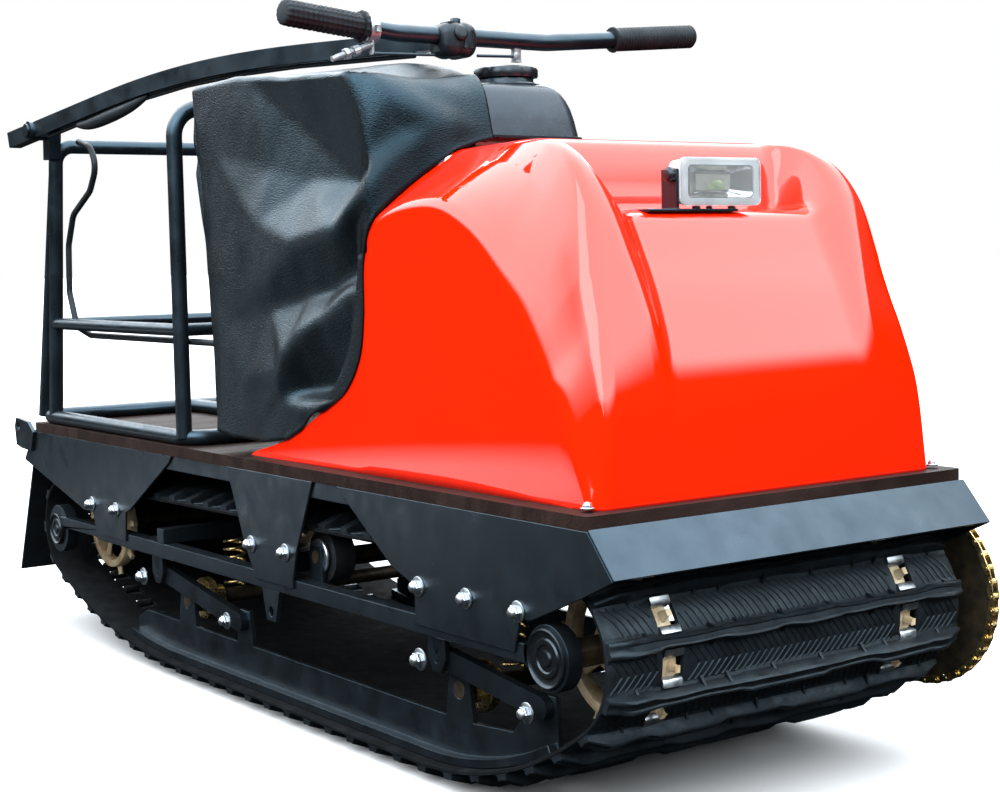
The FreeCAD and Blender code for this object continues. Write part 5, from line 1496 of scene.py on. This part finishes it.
class TOW_OT_drive(Operator):
    """Cast drive and idler wheels, roller chain and its two sprockets"""

    bl_idname = "tow.drive"
    bl_label = "Wheels and chain"

    def execute(self, context):
        loop = Loop()
        for name, arc, teeth, bore in (("drive_sprockets", 0, DRIVE_TEETH, 15.2),
                                       ("idler_sprockets", 3, IDLER_TEETH, 10.2)):
            shape = Shape()
            centre, radius = loop.arcs[arc][:2]
            cast_wheel(shape, centre, radius, teeth, tooth_phase(loop, arc), bore)
            as_piece(name.replace("sprockets", "wheels"), shape, cast_urethane(),
                     stands_for=[name], smooth=50)

        pins = chain_line()
        step = np.roll(pins, -1, axis=0) - pins
        lean = np.arctan2(step[:, 1], step[:, 0])
        pitch = np.linalg.norm(step, axis=1).mean()
        angle = np.linspace(0, math.tau, 14, endpoint=False)
        bulge = np.where(np.cos(angle) > 0, pitch / 2, -pitch / 2)
        outline = lattice(bulge + 4.3 * np.cos(angle),
                          4.3 * np.sin(angle) * (1 - 0.16 * (np.abs(np.cos(angle)) < 0.3)))
        shape = Shape()
        for kind, (inner, outer) in enumerate(((2.9, 4.1), (4.3, 5.5))):
            link = Shape()
            for side in (-1, 1):
                level = np.array([inner, outer])[:, None] * side
                link.tube(lattice(level, outline[:, 0], outline[:, 1]))
            chosen = np.arange(len(pins)) % 2 == kind
            middle = (pins + step / 2)[chosen]
            shape.stamp(link, lattice(CHAIN_X, *middle.T), spin(lean[chosen]))
        roller = Shape()
        roller.turned([(-6, 0.5), (-6, 2.2), (-5.4, 2.5), (-3, 2.5), (-2.8, 4.6), (2.8, 4.6),
                       (3, 2.5), (5.4, 2.5), (6, 2.2), (6, 0.5)], (0, 0, 0), steps=10)
        shape.stamp(roller, lattice(CHAIN_X, *pins.T))
        as_piece("roller_chain", shape, yellow_zinc(),
                 stands_for=["drive_chain"], smooth=35)

        shape = Shape()
        teeth = round(math.tau * CHAIN_BIG / pitch)
        toothed_plate(shape, DRIVE, CHAIN_X, CHAIN_BIG - 5, CHAIN_BIG + 2.6, teeth, 5.2, 15.2)
        shape.grid(ring_of(np.array((CHAIN_X - 9, *DRIVE)), rounded_ring(9, 9, 1.5, 3), 25, 40),
                   wrap=(True, True))
        bolt = Shape()
        bolt.turned([(2.4, 0.5), (2.4, 7.5), (7.6, 7.5), (8.6, 6.4), (8.6, 0.5)], (0, 0, 0),
                    steps=6)
        bolts = DRIVE + on_circle(48, np.arange(5) * math.tau / 5)
        shape.stamp(bolt, lattice(CHAIN_X, *bolts.T))
        as_piece("driven_chainwheel", shape, oiled_steel(),
                 stands_for=["driven_sprocket"], smooth=40)

        caps = Shape()
        drive_face = span("bearing_housings")[0][0]
        idler_face = span("tensioner_yokes")[1][0]
        rings = [(-0.5, 30), (3, 30), (3.8, 28.4), (2.2, 26.6), (1.2, 24), (1.2, 20.5),
                 (2.8, 19), (2.8, 14.5), (1.4, 13), (1.4, 8.5), (3.6, 7.4), (3.6, 1)]
        caps.turned(rings, (drive_face, *DRIVE), (-1, 0, 0), 64)
        for side in (-1, 1):
            caps.turned([(x, radius * 0.78) for x, radius in rings],
                        (side * idler_face, *IDLER), (side, 0, 0), 56)
        as_piece("bearing_caps", caps, plastic("bearing cap", (0.003, 0.0035, 0.004),
                                               (0.22, 0.36)), smooth=30)

        hubs = Shape()
        low, high = span("support_rollers")
        centre = (low + high)[1:] / 2
        for side in (-1, 1):
            hubs.turned([(-1, 8.2), (1.6, 8.2), (2.4, 10), (1.0, 13), (1.0, 17), (2.2, 18.4),
                         (2.2, 20.6), (1.2, 21.4), (-1, 21.4)],
                        (side * high[0], *centre), (side, 0, 0), 48)
        as_piece("roller_discs", hubs, bright_zinc(), smooth=35)
        return {"FINISHED"}


# ---------------------------------------------------------------- tank, cap and lamp

def loft(shape, levels, middle, steps=5, order=(0, 1, 2)):
    """Rounded rectangles in a row: each level is (place along, half, half, corner)."""
    rings = []
    for along, half_x, half_y, corner in levels:
        outline = rounded_ring(half_x, half_y, corner, steps) + middle
        rings.append(lattice(outline[:, 0], outline[:, 1], along)[:, order])
    shape.tube(np.array(rings))


class TOW_OT_tank(Operator):
    """Moulded fuel tank with a seam, a neck and a lobed filler cap"""

    bl_idname = "tow.tank"
    bl_label = "Tank and cap"

    def execute(self, context):
        low, high = span("fuel_tank")
        half_x, half_y = (high - low)[:2] / 2
        middle = ((low + high) / 2)[:2]
        top, base = high[2], low[2]
        shape = Shape()
        rim = [(base, 0), (base + 3, 4), (base + 3.6, 9), (base + 6.4, 9), (base + 7.2, 5),
               (top - 44, 1), (top - 30, -3), (top - 20, -7.5), (top - 12, -12.5),
               (top - 6, -18), (top - 2, -26), (top - 0.5, -34), (top - 0.1, -46)]
        loft(shape, [(height, half_x + grow, half_y + grow * 0.7, 20 + 0.2 * grow)
                     for height, grow in rim], middle, 8)
        middle = np.array((0.0, middle[1]))
        shape.turned([(top - 4, 41), (top + 1.5, 41), (top + 3, 39.5), (top + 3, 34),
                      (top + 9, 33)], (*middle, 0), (0, 0, 1), 40)
        body = plastic("tank plastic", body_settings().tank_colour, (0.22, 0.34), 600)
        as_piece("tank_shell", shape, body, stands_for=["fuel_tank"],
                 smooth=42)

        low, high = span("fuel_cap")
        radius = (high - low)[0] / 2
        middle = ((low + high) / 2)[:2]
        shape = Shape()

        def lobes(angle):
            return 1 - 0.055 * (0.5 + 0.5 * np.cos(angle * 10)) ** 3

        shape.turned([(low[2] + 9.5, radius - 7), (low[2] + 10, radius - 1),
                      (low[2] + 12, radius), (high[2] - 5, radius), (high[2] - 2.4, radius - 1.6),
                      (high[2] - 1.4, radius - 5), (high[2] - 1.6, radius - 11)],
                     (*middle, 0), (0, 0, 1), 96, lobes)
        shape.turned([(high[2] - 4, radius - 9), (high[2] - 0.9, radius - 10),
                      (high[2] - 0.2, radius - 12), (high[2] - 0.9, radius - 15),
                      (high[2] - 1.8, radius - 20)], (*middle, 0), (0, 0, 1), 48)
        as_piece("filler_cap", shape, plastic("cap plastic", (0.006, 0.007, 0.008), (0.3, 0.45)),
                 stands_for=["fuel_cap"], smooth=35)
        return {"FINISHED"}


@cache
def clear_lens():
    """Clear moulded lens, lightly scuffed."""
    look = Finish("lamp lens", (0.93, 0.96, 0.97), 0.05, Transmission_Weight=0.92, IOR=1.38)
    look.polish(look.noise(90, 4), 0.35, 0.75, 0.03, 0.12)
    return look.bump((look.noise(60, 2), 0.0002))


@cache
def mirror_bowl():
    """Vapour-plated reflector with faint facets."""
    look = Finish("lamp reflector", (0.82, 0.84, 0.85), 0.14, Metallic=1.0)
    look.tint(look.ranged(look.noise(60, 3), 0.35, 0.7), (0.88, 0.90, 0.91), (0.55, 0.60, 0.62))
    return look.bump((look.noise(1, 0, (260, 1, 20)), 0.0004))


class TOW_OT_lamp(Operator):
    """Rectangular headlamp: case, mirror bowl, bulb, clear lens and fixings"""

    bl_idname = "tow.lamp"
    bl_label = "Headlamp"

    def execute(self, context):
        low, high = span("headlamp_body")
        lens_low, lens_high = span("headlamp_lens")
        middle = (lens_low + lens_high) / 2
        half_x, half_z = (lens_high - lens_low)[0] / 2, (lens_high - lens_low)[2] / 2
        front, back = lens_low[1], high[1]

        def upright(shape, levels):
            """Loft along Y: (y, half x, half z, corner)."""
            loft(shape, levels, (middle[0], middle[2]), order=(0, 2, 1))

        case = Shape()
        upright(case, [
            (back, half_x - 20, half_z - 12, 6), (back - 3, half_x - 14, half_z - 8, 8),
            (back - 12, half_x - 5, half_z - 2.5, 8), (front + 9.4, half_x - 1, half_z - 1, 8),
            (front + 8.4, half_x, half_z, 8), (front + 6.4, half_x, half_z, 8),
            (front + 5.6, half_x - 3, half_z - 3, 7), (front + 6, half_x - 8, half_z - 7.5, 6),
            (front + 27, half_x - 12, half_z - 8.5, 5)])
        frosted = plastic("lamp case", (0.42, 0.46, 0.48), (0.18, 0.30))
        as_piece("lamp_case", case, frosted, stands_for=["headlamp_body"],
                 smooth=45)
        bowl = Shape()
        upright(bowl, [
            (front + 22, half_x - 26, half_z - 14, 4),
            (front + 15, half_x - 16, half_z - 10.5, 5),
            (front + 7, half_x - 9.5, half_z - 8.5, 6), (front + 7, half_x - 8.4, half_z - 7.8, 6),
            (front + 24, half_x - 24.5, half_z - 12.5, 5)])
        as_piece("lamp_bowl", bowl, mirror_bowl(), smooth=40)
        panel = Shape()
        panel.block((middle[0] - 26, front + 19.4, middle[2] - 8.5),
                    (middle[0] + 26, front + 21.6, middle[2] + 8.5), 1)
        as_piece("lamp_panel", panel, plastic("lamp panel", (0.30, 0.30, 0.24), (0.4, 0.6)),
                 smooth=40)
        bulb = Shape()
        bulb.turned([(0, 4.4), (-4, 4.4), (-9, 3.8), (-11, 2.6), (-11.8, 1)],
                    (middle[0] + 2, front + 19.4, middle[2] - 2), (0, 1, 0), 24)
        bulb.block((middle[0] - 12, front + 16, middle[2] - 7.6),
                   (middle[0] + 16, front + 19, middle[2] - 3.4), 1)
        as_piece("lamp_bulb", bulb, plastic("bulb glass", (0.26, 0.34, 0.12), (0.1, 0.2)),
                 smooth=40)
        lens = Shape()
        upright(lens, [
            (front + 6, half_x - 0.6, half_z - 0.6, 7), (front + 2.2, half_x, half_z, 7),
            (front + 0.6, half_x - 1.2, half_z - 1.2, 6.5),
            (front, half_x - 3.5, half_z - 3.5, 6),
            (front + 0.5, half_x - 5.5, half_z - 5.5, 5)])
        as_piece("lamp_lens", lens, clear_lens(), stands_for=["headlamp_lens"],
                 smooth=45)
        fixings = Shape()
        post_x = low[0] - 4
        for x, radius in ((-36, 4.5), (-18, 3.5), (14, 4.5)):
            fixings.turned([(0, 1), (0, radius), (2.2, radius), (2.8, radius - 1)],
                           (x, front + 9, low[2] - 3), (0, 0, 1), 6)
        fixings.turned([(0, 1), (0, 7), (2, 8), (6, 8), (7, 6), (8.6, 5), (9, 2)],
                       (post_x, front + 14, low[2] + 32), (-1, 0, 0), 24)
        as_piece("lamp_fixings", fixings, plastic("fixing black", (0.004, 0.0045, 0.005),
                                                  (0.3, 0.5)), smooth=35)
        return {"FINISHED"}


# ---------------------------------------------------------------- controls

BAR_BENDS = {-1: np.array((-160.0, -197.0, 832.0)), 1: np.array((60.0, -197.0, 832.0))}
BAR_ENDS = {-1: np.array((-308.0, -207.0, 845.0)), 1: np.array((284.0, -207.0, 850.0))}


def bar_end(side):
    """A grip end of the handlebar and the unit vector that points out of it."""
    return BAR_ENDS[side], unit(BAR_ENDS[side] - BAR_BENDS[side])


class TOW_OT_controls(Operator):
    """Grips, bar clamp with its switch, lever perch, pull bracket and the arm's sleeve"""

    bl_idname = "tow.controls"
    bl_label = "Handlebar controls"

    def execute(self, context):
        black = rubber("grip rubber", (0.006, 0.0065, 0.007), 380, (0.5, 0.7))
        grips = Shape()
        end, out = bar_end(-1)
        along = np.linspace(-98, 3, 60)
        radius = 14.2 + 0.5 * np.sign(np.sin(along * 0.95)) * (np.abs(along + 46) < 44)
        outline = [(-104, 11), (-103.5, 17.4), (-100, 18.2), (-98.4, 17.2), (-98, 14)]
        outline += list(zip(along[1:], radius[1:])) + [(4.6, 13), (5.6, 10)]

        def knurl(angle):
            return 1 + 0.022 * np.sign(np.sin(angle * 14))

        grips.turned(outline, end, out, 84, knurl)
        end, out = bar_end(1)
        along = np.linspace(-116, 3, 120)
        radius = 13.9 + 0.85 * (np.sin(along * 1.27) > 0)
        outline = [(-124, 11), (-123.6, 15.6), (-121.6, 16.2), (-120.6, 15), (-118, 13.8)]
        outline += list(zip(along[1:], radius[1:])) + [(4.6, 12.6), (5.6, 9)]
        grips.turned(outline, end, out, 36)
        as_piece("bar_grips", grips, black, STEERING, ["grips"], 40)

        low, high = span("bar_clamp")
        low, high = low + (7, 2, -1), high - (8, 2, 9)
        middle = (low + high) / 2
        case = Shape()
        x = np.linspace(low[0], high[0], 15)
        swell = np.array([0.66, 0.82, 0.9, 0.94, 0.98, 1, 1, 0.92, 0.92, 1, 1, 0.97, 0.93, 0.84,
                          0.68])
        outline = rounded_ring((high - low)[1] / 2, (high - low)[2] / 2, 13, 7)
        case.tube(lattice(x[:, None], middle[1] + outline[:, 0] * swell[:, None],
                          middle[2] + outline[:, 1] * swell[:, None]))
        case.turned([(0, 9), (5, 9), (6.5, 7.5), (7, 5)],
                    (low[0] + 20, low[1] + 3, middle[2] + 6), (0, -1, 0.25), 20)
        case.block((high[0] - 24, low[1] - 2, middle[2] - 10),
                   (high[0] - 6, low[1] + 6, middle[2] + 10), 2.4)
        case.block((low[0] + 6, low[1] + 4, high[2] - 8), (low[0] + 26, high[1] - 16,
                                                           high[2] - 0.6), 3)
        case.turned([(-8, 6), (4, 6), (5, 5), (4.4, 3)], (middle[0] + 2, middle[1] - 4, high[2]),
                    (0, 0, 1), 6)
        as_piece("clamp_housing", case, plastic("switch plastic", (0.0026, 0.003, 0.0035),
                                                (0.38, 0.55)),
                 STEERING, ["bar_clamp"], 42)

        perch_high = span("lever_perch")[1]
        perch = Shape()
        centre = np.array((perch_high[0] - 7.5, -197.0, 835.0 - 2))
        perch.grid(ring_of(centre, rounded_ring(6.5, 2.0, 0.9, 3), 12.8, 40), wrap=(True, True))
        perch.block(centre + (-5.5, -11, -28), centre + (1.5, 1, -10), 2.5)
        perch.block(centre + (-5, -22, -3.5), centre + (5, -12, 4), 2)
        screw_start, screw_end = centre + (-50, -6, -34), centre + (-2, -6, -17)
        length = np.linalg.norm(screw_end - screw_start)
        along = np.linspace(0, length, 61)
        threads = list(zip(along, 3.2 + 0.55 * (np.arange(61) % 2)))
        perch.turned([(-6, 3.2), *threads], screw_start, screw_end - screw_start, 14)
        perch.turned([(12, 3), (12, 6.4), (13, 7), (17, 7), (18, 6.4), (18, 3)], screw_start,
                     screw_end - screw_start, 6)
        perch.turned([(24, 3), (24, 5.6), (32, 5.6), (32, 3)], screw_start,
                     screw_end - screw_start, 24, lambda angle: 1 + 0.06 * np.cos(angle * 12))
        as_piece("perch_and_adjuster", perch, dull_alloy(), STEERING,
                 ["lever_perch"], 38)

        low, high = span("pull_bracket")
        bracket = Shape()
        middle = (low + high) / 2
        bracket.block(low, (high[0], high[1], low[2] + 17), 3)
        bracket.turned([(0, 2), (0, 4), (0.8, 4.4), (1.6, 3), (1.6, 1)],
                       (middle[0] - 5, low[1], low[2] + 7), (0, -1, 0), 16)
        as_piece("pull_clamp", bracket, dull_alloy(), STEERING,
                 ["pull_bracket"], 40)

        line = curve([(-261, 500, 771), (-251, 475, 772), (-239.8, 432, 780),
                      (-229.2, 387, 790), (-218.6, 350, 803)], 8)
        share = np.linspace(0, 1, len(line))
        sleeve = Shape()
        sleeve.swept(line, 9 * (0.3 + 0.7 * np.sin(math.pi * share ** 0.9) ** 0.8))
        as_piece("arm_sleeve", sleeve, black, STEERING, smooth=60)
        return {"FINISHED"}


# ---------------------------------------------------------------- fastenings

PLATE_NUTS, PLATE_LINE = (490, 405, -3, -89, -381, -470, -560), 222
BEAM_NUTS = ((324, 137), (-377, 142))
RAIL_NUTS, RAIL_FACE = ((99, 108), (-552, 116)), 250
HOOD_NUT = (244, -646, 2.6)


def cap_nut(flats):
    """A dome nut on a washer, standing up along +Z from its seat."""
    shape = Shape()
    radius = flats / math.sqrt(3)
    shape.turned([(0, 3), (0, radius * 1.42), (0.4, radius * 1.48), (1.5, radius * 1.48),
                  (1.9, radius * 1.40), (1.9, 3)], (0, 0, 0), (0, 0, 1), 20)
    shape.turned([(1.9, 3), (1.9, radius * 0.92), (2.6, radius), (flats * 0.52, radius),
                  (flats * 0.58, radius * 0.90)], (0, 0, 0), (0, 0, 1), 6)
    dome = np.linspace(0, math.pi / 2, 6)[:-1]
    shape.turned([(flats * 0.55, radius * 0.80),
                  *zip(flats * (0.58 + 0.36 * np.sin(dome)), radius * 0.82 * np.cos(dome)),
                  (flats * 0.94, 0.5)], (0, 0, 0), (0, 0, 1), 14)
    return shape


def set_fasteners(shape, pattern, seats, axis):
    """Stamp one fastener at many seats, all pointing along one axis."""
    shape.stamp(pattern, np.array(seats, float), [aim(axis)])


class TOW_OT_fasteners(Operator):
    """Zinc cap nuts on the side plates, the beams, the slide rails and the hood's foot"""

    bl_idname = "tow.fasteners"
    bl_label = "Fasteners"

    def execute(self, context):
        size = frame_settings().bolt_size / MM
        shape = Shape()
        plates = span("side_plates_right")
        beams = span("side_beams")
        for side in (-1, 1):
            seats = lattice(side * abs(plates[0][0]), PLATE_NUTS, PLATE_LINE)
            set_fasteners(shape, cap_nut(size), seats, (side, 0, 0))
        for side in (-1, 1):
            for x, wide, places in ((abs(beams[0][0]), size * 1.1, BEAM_NUTS),
                                    (RAIL_FACE, size, RAIL_NUTS)):
                set_fasteners(shape, cap_nut(wide), [(side * x, *place) for place in places],
                              (side, 0, 0))
        as_piece("frame_nuts", shape, bright_zinc(), smooth=38)

        shape = Shape()
        x, y, lift = HOOD_NUT
        seats = [(side * x, y, HOOD[0][2] + lift) for side in (-1, 1)]
        set_fasteners(shape, cap_nut(8), seats, (0, 0, 1))
        as_piece("hood_nuts", shape, bright_zinc(), smooth=38)
        return {"FINISHED"}


# ---------------------------------------------------------------- CAD finishes

class TOW_OT_dress(Operator):
    """Finishes on the frame, deck, axles, rollers, hubs, springs, flap and cables"""

    bl_idname = "tow.dress"
    bl_label = "Finishes"

    def execute(self, context):
        edge = frame_settings().edge_bevel
        dress(["deck_frame", "front_deflector", "rear_deflector", "side_plates_right",
               "side_plates_left", "side_beams", "cross_tubes", "tensioner_yokes",
               "slide_rails", "suspension_arms", "beam_brackets", "lashing_eyes",
               "steering_hinge", "steering_arm", "jackshaft_stand", "tow_ears",
               "headlamp_bracket", "bearing_housings"], powder_coat(), edge)
        dress(["basket_rim", "basket_hoop", "basket_rear_frame", "basket_braces",
               "basket_mid_rails", "handlebar"], powder_coat())
        dress(["deck_board"], film_ply(), edge)
        dress(["drive_shaft", "idler_shaft", "carrier_axles", "support_shaft", "jackshaft"],
              oiled_steel(), edge / 2)
        dress(["link_rod"], powder_coat())
        dress(["carrier_hubs", "suspension_springs"], yellow_zinc(), edge / 2)
        dress(["support_rollers"], rubber("roller tyre", (0.006, 0.0065, 0.007)), edge)
        dress(["mud_flap"], rubber("mud flap", running_settings().rubber_colour, 120), edge)
        dress(["arm_cable", "post_cable"], rubber("cable sheath", (0.006, 0.0065, 0.007), 500))
        dress(["engine_block"], raw_aluminium(), edge)
        return {"FINISHED"}


# ---------------------------------------------------------------- controls in the sidebar

OPERATORS = (TOW_OT_stage, TOW_OT_hood, TOW_OT_cover, TOW_OT_track, TOW_OT_drive, TOW_OT_tank,
             TOW_OT_lamp, TOW_OT_controls, TOW_OT_fasteners, TOW_OT_dress)
SETTINGS = (("tow_body", BodySettings), ("tow_running", RunningSettings),
            ("tow_frame", FrameSettings), ("tow_stage", StageSettings))


class TOW_PT_build(Panel):
    """Lists the settings and the steps that build the machine"""

    bl_idname = "TOW_PT_build"
    bl_label = "Tow Vehicle"
    bl_space_type = "VIEW_3D"
    bl_region_type = "UI"
    bl_category = "Tow Vehicle"

    def draw(self, context):
        for name, group in SETTINGS:
            box = self.layout.box()
            for field in group.__annotations__:
                box.prop(getattr(context.scene, name), field)
        for operator in OPERATORS:
            self.layout.operator(operator.bl_idname)


def register():
    for name, group in SETTINGS:
        bpy.utils.register_class(group)
        setattr(bpy.types.Scene, name, PointerProperty(type=group))
    for item in (*OPERATORS, TOW_PT_build):
        bpy.utils.register_class(item)


def unregister():
    for item in reversed((*OPERATORS, TOW_PT_build)):
        bpy.utils.unregister_class(item)
    for name, group in reversed(SETTINGS):
        delattr(bpy.types.Scene, name)
        bpy.utils.unregister_class(group)


def main():
    register()
    for operator in OPERATORS:
        group, name = operator.bl_idname.split(".")
        getattr(getattr(bpy.ops, group), name)()


if __name__ == "__main__":
    main()
